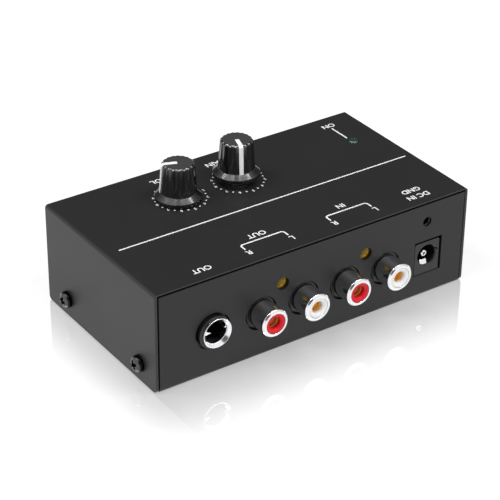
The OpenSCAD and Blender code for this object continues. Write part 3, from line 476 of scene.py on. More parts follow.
def new_piece(name, bm, slot, *replaced, body="case", finish=None, rounded=0.0, segments=2):
    """Makes an object of a bmesh, gives it a finish, ties it to its body and hides the solids that it replaces.

    The finish is the slot's own one unless another is named.
    """
    mesh = bpy.data.meshes.new(name)
    bm.to_mesh(mesh)
    bm.free()
    for face in mesh.polygons:
        face.use_smooth = True
    piece = bpy.data.objects.new(name, mesh)
    bpy.context.scene.collection.objects.link(piece)
    mesh.materials.append(FINISHES[finish or slot])
    if rounded:
        edge = piece.modifiers.new("rounded_edges", "BEVEL")
        edge.width = rounded
        edge.segments = segments
        edge.limit_method = "ANGLE"
        edge.angle_limit = SHARP
    shading = piece.modifiers.new("flat_faces", "WEIGHTED_NORMAL")
    shading.keep_sharp = True
    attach(piece, body)
    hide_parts(*replaced)


def add(bm, *others):
    """Moves other bmeshes into bm."""
    for other in others:
        mesh = bpy.data.meshes.new("part")
        other.to_mesh(mesh)
        other.free()
        bm.from_mesh(mesh)
        bpy.data.meshes.remove(mesh)
    return bm


def cut(bm, *cutters):
    """bm with the cutters taken from it one after another."""
    for cutter in cutters:
        bm = cut_once(bm, cutter)
    return bm


def cut_once(bm, cutter):
    """bm with one cutter taken from it; both bmeshes are used up."""
    bodies = []
    for part in (bm, cutter):
        mesh = bpy.data.meshes.new("part")
        part.to_mesh(mesh)
        part.free()
        body = bpy.data.objects.new("part", mesh)
        bpy.context.scene.collection.objects.link(body)
        bodies.append(body)
    boolean = bodies[0].modifiers.new("cut", "BOOLEAN")
    boolean.operation = "DIFFERENCE"
    boolean.solver = "EXACT"
    boolean.object = bodies[1]
    evaluated = bodies[0].evaluated_get(bpy.context.evaluated_depsgraph_get())
    result = bmesh.new()
    result.from_mesh(evaluated.to_mesh())
    evaluated.to_mesh_clear()
    for body in bodies:
        mesh = body.data
        bpy.data.objects.remove(body)
        bpy.data.meshes.remove(mesh)
    bmesh.ops.remove_doubles(result, verts=result.verts, dist=MERGE)
    return result


def block(size, place):
    """Block of the given size about a place."""
    bm = bmesh.new()
    bmesh.ops.create_cube(bm, size=1, matrix=place @ Matrix.Diagonal((*size, 1)))
    return bm


def block_between(lo, hi):
    """Block that fills a box."""
    return block(hi - lo, Matrix.Translation((lo + hi) / 2))


def bevel(bm, geom, radius, segments, affect="EDGES"):
    """Rounds some of a bmesh's edges or corners."""
    bmesh.ops.bevel(bm, geom=geom, offset=radius, segments=segments, profile=0.5, affect=affect,
                    material=-1)


def rod(radius, low, high, place, steps=64):
    """Cylinder along place's Z."""
    bm = bmesh.new()
    centre = Matrix.Translation((0, 0, (low + high) / 2))
    bmesh.ops.create_cone(bm, cap_ends=True, segments=steps, radius1=radius, radius2=radius,
                          depth=high - low, matrix=place @ centre)
    return bm


def soften(outline, radius):
    """Closed outline with its corners rounded; points on the axis and in straight runs stay."""
    steps = 3
    slight = 0.2              # radians
    most = 0.45               # of a side, that one corner takes
    points = [Vector(p) for p in outline]
    softened = []
    for i, corner in enumerate(points):
        before = points[i - 1] - corner
        after = points[(i + 1) % len(points)] - corner
        if corner.x < NEAR or abs(before.angle(after) - math.pi) < slight:
            softened.append(corner)
            continue
        start = corner + before.normalized() * min(radius, before.length * most)
        end = corner + after.normalized() * min(radius, after.length * most)
        for step in range(steps + 1):
            t = step / steps
            softened.append(start.lerp(corner, t).lerp(corner.lerp(end, t), t))
    return softened


def arc(centre, radius, start, end, steps):
    """Points on an arc in the outline's plane, from start to end in degrees."""
    turns = [math.radians(start + (end - start) * i / steps) for i in range(steps + 1)]
    return [(centre[0] + radius * math.cos(t), centre[1] + radius * math.sin(t)) for t in turns]


def turned(outline, place, steps):
    """Solid of revolution about place's Z from a closed outline of radii and heights."""
    bm = bmesh.new()
    verts = [bm.verts.new((max(r, 0), 0, z)) for r, z in outline]
    pairs = zip(verts, verts[1:] + verts[:1])
    edges = [bm.edges.new(pair) for pair in pairs if max(v.co.x for v in pair) > NEAR]
    bmesh.ops.spin(bm, geom=verts + edges, axis=(0, 0, 1), cent=(0, 0, 0), angle=TURN,
                   steps=steps, use_merge=True)
    bmesh.ops.remove_doubles(bm, verts=bm.verts, dist=MERGE)
    bmesh.ops.recalc_face_normals(bm, faces=bm.faces)
    bm.transform(place)
    return bm


def extruded(outline, width, place):
    """Solid from a closed outline in place's XY plane, width thick about it."""
    bm = bmesh.new()
    face = bm.faces.new([bm.verts.new((x, y, -width / 2)) for x, y in outline])
    raised = bmesh.ops.extrude_face_region(bm, geom=[face])["geom"]
    top = [v for v in raised if isinstance(v, bmesh.types.BMVert)]
    bmesh.ops.translate(bm, verts=top, vec=(0, 0, width))
    bmesh.ops.recalc_face_normals(bm, faces=bm.faces)
    bm.transform(place)
    return bm


def at_panel(x, z):
    """Place on the socket panel, with Z out of it."""
    return Matrix.Translation((x, PANEL_Y, z)) @ Matrix.Rotation(math.pi / 2, 4, "X")


def at_end(side, y, z):
    """Place on an end wall, with Z out of it."""
    wall = Matrix.Translation((side * COVER_HI.x, y, z))
    return wall @ Matrix.Rotation(side * math.pi / 2, 4, "Y")


def socket_place(node_name):
    """Place of a socket's axis on the panel's outer face."""
    centre = middle(node_name)
    return at_panel(centre.x, centre.z)


def reach(node_name):
    """How far a solid's back and its front stand out of the panel's outer face."""
    lo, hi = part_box(node_name)
    return PANEL_Y - hi.y, PANEL_Y - lo.y


def rivet_places():
    """Places of the two rivets on the panel's outer face."""
    lo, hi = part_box("rca_rivets")
    radius = (hi.z - lo.z) / 2
    return [at_panel(x, (lo.z + hi.z) / 2) for x in (lo.x + radius, hi.x - radius)]


def end_screw_places():
    """Places of the four end screws."""
    lo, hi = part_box("end_screws")
    half_head = middle("end_screws").z - lo.z
    ys = (lo.y + half_head, hi.y - half_head)
    return [at_end(side, y, middle("end_screws").z) for side in (-1, 1) for y in ys]


def folded_sheet(lo, hi, case, axis, folded, corner_radius=0.0):
    """Sheet folded to a channel: its folds run along an axis, at the top (1) or bottom (-1)."""
    bm = block_between(lo, hi)
    side_z = hi.z if folded > 0 else lo.z
    folds = [e for e in bm.edges
             if all(abs(v.co.z - side_z) < NEAR for v in e.verts)
             and abs(e.verts[0].co[axis] - e.verts[1].co[axis]) > NEAR]
    bevel(bm, folds, case.fold_radius, 10)
    bm.normal_update()
    open_faces = [f for f in bm.faces
                  if abs(f.normal[axis]) > LEVEL or f.normal.z * folded < -LEVEL]
    bmesh.ops.delete(bm, geom=open_faces, context="FACES")
    if corner_radius:
        free = [v for v in bm.verts
                if len(v.link_faces) == 1 and abs(v.co.z - side_z) > (hi - lo).z / 2]
        bevel(bm, free, corner_radius, 5, "VERTICES")
    bmesh.ops.recalc_face_normals(bm, faces=bm.faces)
    middle_face = max(bm.faces, key=lambda f: f.calc_area())
    if middle_face.normal.z * folded < 0:
        bmesh.ops.reverse_faces(bm, faces=bm.faces)
    bmesh.ops.solidify(bm, geom=bm.faces[:], thickness=case.sheet)
    return bm


class PreampOperator(bpy.types.Operator):
    """What the steps have in common"""
    bl_options = {"REGISTER", "UNDO"}


class PREAMP_OT_finishes(PreampOperator):
    """Make the finishes and give them to the solids that show as they are"""
    bl_idname = "preamp.finishes"
    bl_label = "Finishes"

    def execute(self, context):
        FINISHES.update(make_finishes(context.scene.preamp_finish))
        slots = {part["node"]: part["material_slot"] for part in frame["record"]["subparts"]}
        for name, solid in frame["nodes"].items():
            solid.data.materials.clear()
            solid.data.materials.append(FINISHES[slots[name]])
        return {"FINISHED"}


class PREAMP_OT_cover(PreampOperator):
    """Fold and drill the top cover"""
    bl_idname = "preamp.cover"
    bl_label = "Top cover"

    def execute(self, context):
        case = context.scene.preamp_case
        sheet = folded_sheet(COVER_LO, COVER_HI, case, Y, 1, case.corner_radius)
        holes = [(case.screw_hole, place) for place in end_screw_places()]
        for control in CONTROLS:
            x, y, _ = joint_of(control)["pos_m"]
            holes.append((case.shaft_hole, Matrix.Translation((x, y, TOP_Z))))
        lamp = middle("power_led")
        holes.append((case.lamp_hole, Matrix.Translation((lamp.x, lamp.y, TOP_Z))))
        cutters = bmesh.new()
        for radius, place in holes:
            add(cutters, rod(radius, -case.sheet - OVER, OVER, place))
        tuck = (2 * (COVER_HI.x - case.sheet), 3 * case.sheet, 2 * (case.sheet - case.lip))
        for y in (COVER_LO.y, COVER_HI.y):
            add(cutters, block(tuck, Matrix.Translation((0, y, TOP_Z - case.sheet))))
        new_piece("cover", cut(sheet, cutters), "black_case", "top_cover", rounded=case.edge)
        return {"FINISHED"}


class PREAMP_OT_chassis(PreampOperator):
    """Fold the chassis, punch its socket panel and set up its screw tabs"""
    bl_idname = "preamp.chassis"
    bl_label = "Chassis"

    def execute(self, context):
        case = context.scene.preamp_case
        end = CHASSIS_HI.x
        lo = Vector((case.left_seam - end, CHASSIS_LO.y, CHASSIS_LO.z))
        hi = Vector((end - case.right_seam, CHASSIS_HI.y, CHASSIS_HI.z + case.tucked))
        sheet = folded_sheet(lo, hi, case, X, -1)
        cutters = self.panel_holes(case)
        tabs = bmesh.new()
        drills = bmesh.new()
        notch = (2 * case.fold_radius, case.tab_width + 2 * case.tab_gap, 3 * case.sheet)
        for place in end_screw_places():
            x, y, z = place.translation
            side = math.copysign(1, x)
            add(cutters, block(notch, Matrix.Translation((side * end, y, 0))))
            add(tabs, self.tab(case, side, end, y, z + case.tab_rise))
            add(drills, rod(case.tapped_hole, -3 * case.sheet, OVER, place, 32))
        sheet = cut(sheet, cutters)
        add(sheet, cut(tabs, drills))
        new_piece("chassis", sheet, "black_case", "base_chassis", finish="chassis_coat",
                  rounded=case.edge)
        return {"FINISHED"}

    def panel_holes(self, case):
        """Cutters for the holes of the socket panel."""
        phone = socket_place("phone_jack_ferrule")
        row = phone.translation.z
        holes = [(case.rca_hole, at_panel(middle(name + "_shell").x, row), 64)
                 for name in RCA_SOCKETS]
        holes.append((case.phone_hole, phone, 64))
        holes += [(case.rivet_hole, place, 32) for place in rivet_places()]
        holes.append((case.ground_hole, socket_place("ground_nut"), 32))
        cutters = bmesh.new()
        for radius, place, steps in holes:
            add(cutters, rod(radius, -case.sheet - OVER, OVER, place, steps))
        lo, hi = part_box("dc_jack_housing")
        left, foot = lo.x - case.inlet_gap, lo.z - case.inlet_foot
        right, top = [edge + case.inlet_gap + case.inlet_room for edge in (hi.x, hi.z)]
        place = at_panel((left + right) / 2, (foot + top) / 2)
        return add(cutters, block((right - left, top - foot, 4 * OVER), place))

    def tab(self, case, side, end, y, height):
        """Tab that stands up from the bottom beside an end wall."""
        near, far = sorted((side * (end - case.fold_radius), side * end))
        bm = block_between(Vector((near, y - case.tab_width / 2, 0)),
                           Vector((far, y + case.tab_width / 2, height)))
        bm.normal_update()
        open_faces = [f for f in bm.faces if abs(f.normal.y) > LEVEL or f.normal.z > LEVEL
                      or f.normal.x * side < -LEVEL]
        bmesh.ops.delete(bm, geom=open_faces, context="FACES")
        bmesh.ops.solidify(bm, geom=bm.faces[:], thickness=case.sheet)
        return bm


class PREAMP_OT_end_screws(PreampOperator):
    """Turn the four pan-head end screws and press their cross recesses"""
    bl_idname = "preamp.end_screws"
    bl_label = "End screws"

    def execute(self, context):
        lo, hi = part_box("end_screws")
        height = hi.x - COVER_HI.x
        head = middle("end_screws").z - lo.z
        shank, tip, point = 1.5 * MM, -4 * MM, 0.4 * MM
        outline = [(0, tip), (shank - point, tip), (shank, tip + point), (shank, 0), (head, 0),
                   (head, 0.42 * height), (0.90 * head, 0.74 * height),
                   (0.62 * head, 0.95 * height), (0.35 * head, height), (0, height)]
        foot_z = -0.3 * height
        slot_size = (1.2 * head, 0.42 * head, 1.5 * height)
        slot_place = Matrix.Translation((0, 0, foot_z + 0.5 * slot_size[2]))
        taper = (0.45, 0.55, 1)                   # of a slot towards its foot
        first_turn, next_turn = 0.5, 0.9          # radians, as each screw was driven
        heads = bmesh.new()
        slots = [bmesh.new(), bmesh.new()]
        for i, place in enumerate(end_screw_places()):
            add(heads, turned(soften(outline, 0.25 * MM), place, 64))
            for slot_set, turn in zip(slots, (0, math.pi / 2)):
                slot = block(slot_size, slot_place)
                foot = [v for v in slot.verts if v.co.z < foot_z + NEAR]
                bmesh.ops.scale(slot, verts=foot, vec=taper)
                driven = turn + first_turn + next_turn * i
                slot.transform(place @ Matrix.Rotation(driven, 4, "Z"))
                add(slot_set, slot)
        new_piece("end_screw_set", cut(heads, *slots), "black_screw", "end_screws",
                  rounded=0.06 * MM, segments=1)
        return {"FINISHED"}


class PREAMP_OT_phone_jack(PreampOperator):
    """Turn the phone jack's funnel-shaped ring with its two earth tongues"""
    bl_idname = "preamp.phone_jack"
    bl_label = "Phone jack"

    def execute(self, context):
        sockets = context.scene.preamp_sockets
        back, front = reach("phone_jack_ferrule")
        bore = sockets.phone_bore
        outer = sockets.ferrule_radius
        tube = bore + 0.45 * MM
        flange = front - 0.8 * MM
        outline = [(bore, back), (tube, back), (tube, flange), (outer, flange),
                   (outer, front - 0.12 * MM), (outer - 0.15 * MM, front),
                   (bore + 0.08 * MM, front - 0.9 * MM), (bore, front - 1.1 * MM)]
        play = Matrix.Translation((sockets.ferrule_play, 0, 0))
        place = play @ socket_place("phone_jack_ferrule")
        ring = turned(soften(outline, 0.06 * MM), place, 96)
        inside = Matrix.Translation((0, 0, front - 1.35 * MM))
        # each earth tongue's side, the height of its root, and its tip
        for side, top, tip in ((-1, 1.2 * MM, (1.4 * MM, 0)), (1, 0.9 * MM, (2.7 * MM, 0.4 * MM))):
            root = side * (bore + 0.2 * MM)
            tongue = [(root, -0.1 * MM), (root, top), (side * tip[0], tip[1])]
            add(ring, extruded(soften(tongue, 0.12 * MM), 0.3 * MM, place @ inside))
        new_piece("phone_jack_ring", ring, "bright_chrome", "phone_jack_ferrule")
        return {"FINISHED"}


class PREAMP_OT_rca_sockets(PreampOperator):
    """Turn the barrels, faces and contacts of the four RCA sockets"""
    bl_idname = "preamp.rca_sockets"
    bl_label = "RCA sockets"

    def execute(self, context):
        sockets = context.scene.preamp_sockets
        for name in RCA_SOCKETS:
            place = socket_place(name + "_shell")
            self.barrel(sockets, name, place)
            self.face(sockets, name, place)
            self.contact(sockets, name, place)
        return {"FINISHED"}

    def barrel(self, sockets, name, place):
        """Plated shell with a bevelled mouth."""
        back, front = reach(name + "_shell")
        barrel, stem, bore = sockets.barrel_radius, sockets.stem_radius, sockets.bore_radius
        mouth, chamfer = sockets.face_radius, sockets.lip_chamfer
        outline = [(bore, back), (stem, back), (stem, 0), (barrel, 0), (barrel, front - chamfer),
                   (barrel - chamfer, front), (mouth, front), (mouth, front - 1 * MM),
                   (bore, front - 1.3 * MM)]
        shell = turned(soften(outline, 0.1 * MM), place, 96)
        new_piece(name + "_barrel", shell, "dark_chrome", name + "_shell")

    def depths(self, sockets, name):
        """Heights of a socket's coloured face and of the contact sunk behind it."""
        face = reach(name + "_shell")[1] - 0.1 * MM
        return face, face - sockets.pin_recess

    def face(self, sockets, name, place):
        """Coloured insulator, which sinks towards its hole."""
        rear = reach(name + "_insulator")[0]
        face, recess = self.depths(sockets, name)
        edge = sockets.face_radius - 0.03 * MM
        hole = sockets.pin_hole
        outline = [(hole + 0.25 * MM, rear), (edge, rear), (edge, face - 0.1 * MM),
                   (edge - 0.2 * MM, face), (sockets.funnel_radius, face),
                   (hole, face - sockets.funnel_depth), (hole, recess),
                   (hole + 0.25 * MM, recess)]
        insulator = turned(soften(outline, 0.08 * MM), place, 72)
        slot = "signal_red" if "right" in name else "signal_white"
        new_piece(name + "_face", insulator, slot, name + "_insulator")

    def contact(self, sockets, name, place):
        """Gold-flashed contact whose leaves meet in a cup, with the leg that it is soldered by."""
        lo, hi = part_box(name + "_contact")
        tail = reach(name + "_contact")[0]
        hole = sockets.pin_hole
        tube = hole + 0.2 * MM
        mouth = self.depths(sockets, name)[1] - 0.05 * MM
        depth = sockets.leaf_depth
        outline = [(0, tail), (tube, tail), (tube, mouth), (hole - 0.25 * MM, mouth),
                   (hole - 0.5 * MM, mouth - 0.5 * depth), (0.4 * hole, mouth - 0.9 * depth),
                   (0, mouth - depth)]
        contact = turned(soften(outline, 0.3 * MM), place, 48)
        width, thickness = 1.2 * MM, 0.4 * MM
        axis = place.translation
        add(contact, block((width, thickness, axis.z - lo.z),
                           Matrix.Translation((axis.x, hi.y - thickness / 2, (lo.z + axis.z) / 2))))
        # in the red sockets the contact takes the brass with the red glow painted in
        new_piece(name + "_pin_contact", contact, "gold_brass", name + "_contact",
                  finish="brass_with_painted_red_glow" if "right" in name else None)


class PREAMP_OT_housings(PreampOperator):
    """Round the edges of the sockets' moulded housings"""
    bl_idname = "preamp.housings"
    bl_label = "Socket housings"

    def execute(self, context):
        for name in ("phone_jack_housing", "output_rca_housing", "input_rca_housing"):
            bm = bmesh.new()
            bm.from_mesh(frame["nodes"][name].data)
            bmesh.ops.remove_doubles(bm, verts=bm.verts, dist=MERGE)
            bmesh.ops.dissolve_limit(bm, angle_limit=math.radians(1), verts=bm.verts,
                                     edges=bm.edges)
            new_piece(name.replace("_housing", "_body"), bm, "black_housing", name,
                      rounded=0.15 * MM)
        return {"FINISHED"}


class PREAMP_OT_rivets(PreampOperator):
    """Turn the two hollow brass rivets of the socket blocks"""
    bl_idname = "preamp.rivets"
    bl_label = "Rivets"

    def execute(self, context):
        lo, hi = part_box("rca_rivets")
        back, front = reach("rca_rivets")
        head = (hi.z - lo.z) / 2
        shank = 1.2 * MM
        under = front - 0.2 * MM
        outline = [(0, back), (shank, back), (shank, under), (head, under),
                   (head, front - 0.12 * MM), (head - 0.5 * MM, front), (1.15 * MM, front),
                   (0.85 * MM, front - 0.3 * MM), (0, front - 0.34 * MM)]
        rivets = bmesh.new()
        for place in rivet_places():
            add(rivets, turned(soften(outline, 0.08 * MM), place, 48))
        new_piece("socket_rivets", rivets, "gold_brass", "rca_rivets", finish="rivet_brass")
        return {"FINISHED"}


class PREAMP_OT_ground_nut(PreampOperator):
    """Make the ground terminal's nut with the ridges of its thread"""
    bl_idname = "preamp.ground_nut"
    bl_label = "Ground nut"

    def execute(self, context):
        sockets = context.scene.preamp_sockets
        lo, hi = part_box("ground_nut")
        back, front = reach("ground_nut")
        flats = (hi.z - lo.z) / 2
        place = socket_place("ground_nut")
        hexagon = rod(flats * 2 / math.sqrt(3), back, front, place, 6)
        play, ridge = 0.02 * MM, 0.3 * MM
        root = sockets.thread_radius + play
        crest = root - ridge
        turns = round((front - back) / sockets.thread_pitch)
        step = (front - back) / turns
        ridges = [(0, back - OVER), (root, back - OVER)]
        for i in range(turns):
            ridges += [(root, back + i * step), (crest, back + (i + 0.5) * step)]
        ridges += [(root, front), (root, front + OVER), (0, front + OVER)]
        nut = cut(hexagon, turned(ridges, place, 32))
        # the nut takes the darkened zinc, a painted shade for the inside of its hole
        new_piece("ground_terminal_nut", nut, "zinc", "ground_nut", finish="nut_with_painted_shade")
        return {"FINISHED"}


class PREAMP_OT_power_inlet(PreampOperator):
    """Mould the power inlet with its hole, keyway, pin and flat contact"""
    bl_idname = "preamp.power_inlet"
    bl_label = "Power inlet"

    def execute(self, context):
        sockets = context.scene.preamp_sockets
        pin_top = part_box("dc_jack_pin")[1].z
        place = at_panel(middle("dc_jack_pin").x, pin_top - sockets.inlet_pin)
        strip = 0.35 * MM - sockets.inlet_hole      # upper face of the flat contact
        self.body(sockets, place, strip)
        self.pin(sockets, place)
        self.spring(place, strip)
        return {"FINISHED"}

    def body(self, sockets, place, strip):
        """Housing with its hole, the keyway beside it and the slot of the flat contact."""
        lo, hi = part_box("dc_jack_housing")
        body = block_between(lo, hi)
        top_edges = [e for e in body.edges if all(v.co.z > hi.z - NEAR for v in e.verts)
                     and abs(e.verts[0].co.y - e.verts[1].co.y) > NEAR]
        bevel(body, top_edges, 0.7 * MM, 5)
        face = reach("dc_jack_housing")[1]
        hole = sockets.inlet_hole
        rim = 0.3 * MM
        floor = face - 10 * MM
        bore = turned([(0, floor), (hole, floor), (hole, face - rim), (hole + rim, face),
                       (hole + rim, face + OVER), (0, face + OVER)], place, 64)
        beside = Matrix.Translation((3.4 * MM, 1.2 * MM, face)) @ Matrix.Rotation(-0.5, 4, "Z")
        key = block((1.4 * MM, 0.35 * MM, 2 * MM), place @ beside)
        under = Matrix.Translation((0, strip - 0.2 * MM, face - 6.4 * MM))
        slot = block((2.5 * MM, 0.5 * MM, 10.8 * MM), place @ under)
        new_piece("power_inlet_body", cut(body, bore, key, slot), "black_housing",
                  "dc_jack_housing", rounded=0.15 * MM, segments=3)

    def pin(self, sockets, place):
        """Centre pin, hollow at its tip."""
        back, tip = reach("dc_jack_pin")
        radius = sockets.inlet_pin
        hollow = tip - 1.5 * MM
        outline = [(0, back), (radius, back), (radius, tip - 0.3 * MM), (radius - 0.3 * MM, tip),
                   (0.45 * radius, tip), (0.4 * radius, hollow), (0, hollow)]
        pin = turned(soften(outline, 0.1 * MM), place, 48)
        new_piece("power_inlet_pin", pin, "bright_chrome", "dc_jack_pin")

    def spring(self, place, strip):
        """Flat contact: it rises to a hump behind its tip, and its tip leans to the left."""
        rear = reach("dc_jack_spring")[0]
        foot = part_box("dc_jack_spring")[0].z - place.translation.z
        face = reach("dc_jack_housing")[1]
        bend = face - 4 * MM
        tip = face - 0.6 * MM
        low = strip - 0.4 * MM
        leaf = [(rear, strip), (bend, strip), (face - 1.9 * MM, strip + 1 * MM),
                (face - 1.2 * MM, strip + 1 * MM), (tip, low + 0.1 * MM), (tip, low),
                (face - 1 * MM, low), (face - 1.6 * MM, strip + 0.5 * MM), (bend, low),
                (rear + 0.5 * MM, low), (rear + 0.5 * MM, foot), (rear, foot)]
        across = Matrix.Rotation(-math.pi / 2, 4, "Y")
        spring = extruded(soften(leaf, 0.15 * MM), 2.4 * MM, place @ across)
        lean = 0.16                   # of the way out from the bend
        for vert in spring.verts:
            vert.co.x -= lean * max(0.0, PANEL_Y - vert.co.y - bend)
        new_piece("power_inlet_spring", spring, "bright_chrome", "dc_jack_spring",
                  rounded=0.08 * MM)


class PREAMP_OT_lamp(PreampOperator):
    """Turn the indicator's domed lens"""
    bl_idname = "preamp.lamp"
    bl_label = "Indicator lamp"

    def execute(self, context):
        lo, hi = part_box("power_led")
        centre = middle("power_led")
        flange = (hi.x - lo.x) / 2
        flange_top = 1 * MM
        radius = flange - 0.4 * MM
        flatness = 0.6                # a round dome has 1
        shoulder = hi.z - lo.z - flatness * radius
        dome = [(r, shoulder + flatness * z) for r, z in arc((0, 0), radius, 0, 90, 12)]
        outline = [(0, 0), (flange, 0), (flange, flange_top), (radius, flange_top), *dome]
        lens = turned(outline, Matrix.Translation((centre.x, centre.y, lo.z)), 64)
        new_piece("indicator_lens", lens, "lamp_green", "power_led")
        return {"FINISHED"}


class PREAMP_OT_knobs(PreampOperator):
    """Mould the two fluted knobs and their white pointers"""
    bl_idname = "preamp.knobs"
    bl_label = "Knobs"

    def execute(self, context):
        knobs = context.scene.preamp_knobs
        for control in CONTROLS:
            x, y, _ = joint_of(control)["pos_m"]
            lo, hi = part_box(control + "_knob")
            place = (Matrix.Translation((x, y, lo.z))
                     @ Matrix.Rotation(rest_turn(control), 4, "Z"))
            height = hi.z - lo.z
            knob = self.knob(knobs, height, (hi.x - lo.x) / 2)
            knob.transform(place)
            body = control + "_control"
            new_piece(control + "_fluted_knob", knob, "knob_black", control + "_knob", body=body)
            new_piece(control + "_pointer", self.pointer(knobs, height, place), "pointer_white",
                      control + "_knob_pointer", body=body, rounded=0.06 * MM)
        return {"FINISHED"}

    def knob(self, knobs, height, skirt):
        """Cap, grip and conical skirt in one moulding, hollow under the skirt."""
        bore, hub = knobs.shaft_bore, 4.2 * MM
        bore_end = height - 1.6 * MM
        hollow = 1 * MM
        rim = skirt - 0.9 * MM
        edge = knobs.cap_edge
        start = knobs.skirt_height + 0.25 * MM      # of the flutes
        outline = [(bore, 0), (hub, 0), (hub, hollow), (rim, hollow), (rim, 0), (skirt, 0),
                   (skirt, knobs.rim_height), (knobs.grip_foot, knobs.skirt_height),
                   (knobs.grip_foot - 0.02 * MM, knobs.skirt_height + 0.3 * MM),
                   (knobs.grip_top, height - edge), (knobs.grip_top - 1.2 * edge, height),
                   (0, height), (0, bore_end), (bore, bore_end)]
        bm = turned(soften(outline, 0.08 * MM), Matrix.Identity(4), knobs.flutes * 12)
        slope = (knobs.grip_foot - knobs.grip_top) / (height - knobs.skirt_height)
        skin = 0.6 * MM                             # what counts as the grip's outside
        run_in, run_out = 0.5 * MM, 1.2 * MM        # over which a flute starts and gets flatter
        for vert in bm.verts:
            radius = vert.co.xy.length
            wall = knobs.grip_foot - slope * (vert.co.z - knobs.skirt_height)
            if vert.co.z > start and radius > wall - skin:
                turn = math.atan2(vert.co.x, -vert.co.y) * knobs.flutes / TURN
                across = abs(turn % 1 - 0.5) / (knobs.flute_width / 2)
                groove = knobs.flute_depth * math.sqrt(max(0.0, 1 - across * across))
                groove *= min(1.0, (vert.co.z - start) / run_in)
                groove *= 1 - 0.5 * max(0.0, (vert.co.z - height + run_out) / run_out)
                vert.co.xy *= (radius - groove) / radius
        return bm

    def pointer(self, knobs, height, place):
        """White inlay that runs from near the cap's middle down the grip."""
        proud = knobs.pointer_proud
        depth = 0.45 * MM
        start = 0.3 * MM
        foot_z = knobs.skirt_height - 0.5 * MM
        top, foot = knobs.grip_top, knobs.grip_foot
        edge = top - knobs.cap_edge
        shoulder = height - knobs.cap_edge
        outline = [(start, height + proud), (edge, height + proud), (top + proud, shoulder),
                   (foot + proud, foot_z), (foot - depth, foot_z),
                   (top - depth, shoulder - depth), (edge - depth, height - depth),
                   (start, height - depth)]
        upright = Matrix.Rotation(math.pi / 2, 4, "X") @ Matrix.Rotation(-math.pi / 2, 4, "Y")
        return extruded(outline, knobs.pointer_width, place @ upright)


# Places of the print on the cover, in millimetres
DIALS = ((-18.6, 11.3), (0.6, 11.0))
LABELS = {"VOL": (-18.5, 22.8), "GAIN": (0.7, 22.8), "ON": (41.6, 23.6), "OUT": (-34.7, -24.1),
          "DC IN": (37.3, -24.5), "GND": (37.4, -21.0)}
LAMP_LINE = ((41.6, 21.9), (41.6, 14.3))
RULE = ((-47.7, -3.9), (49.0, -3.9))
BRACKETS = {"OUT": (-19.5, -5.5), "IN": (8.7, 22.7)}      # from the right channel to the left
BRACKET_WORD_Y, BRACKET_BAR_Y, BRACKET_FOOT_Y, CHANNEL_Y = -17.1, -19.55, -22.1, -23.8
BRACKET_CORNER = 0.9


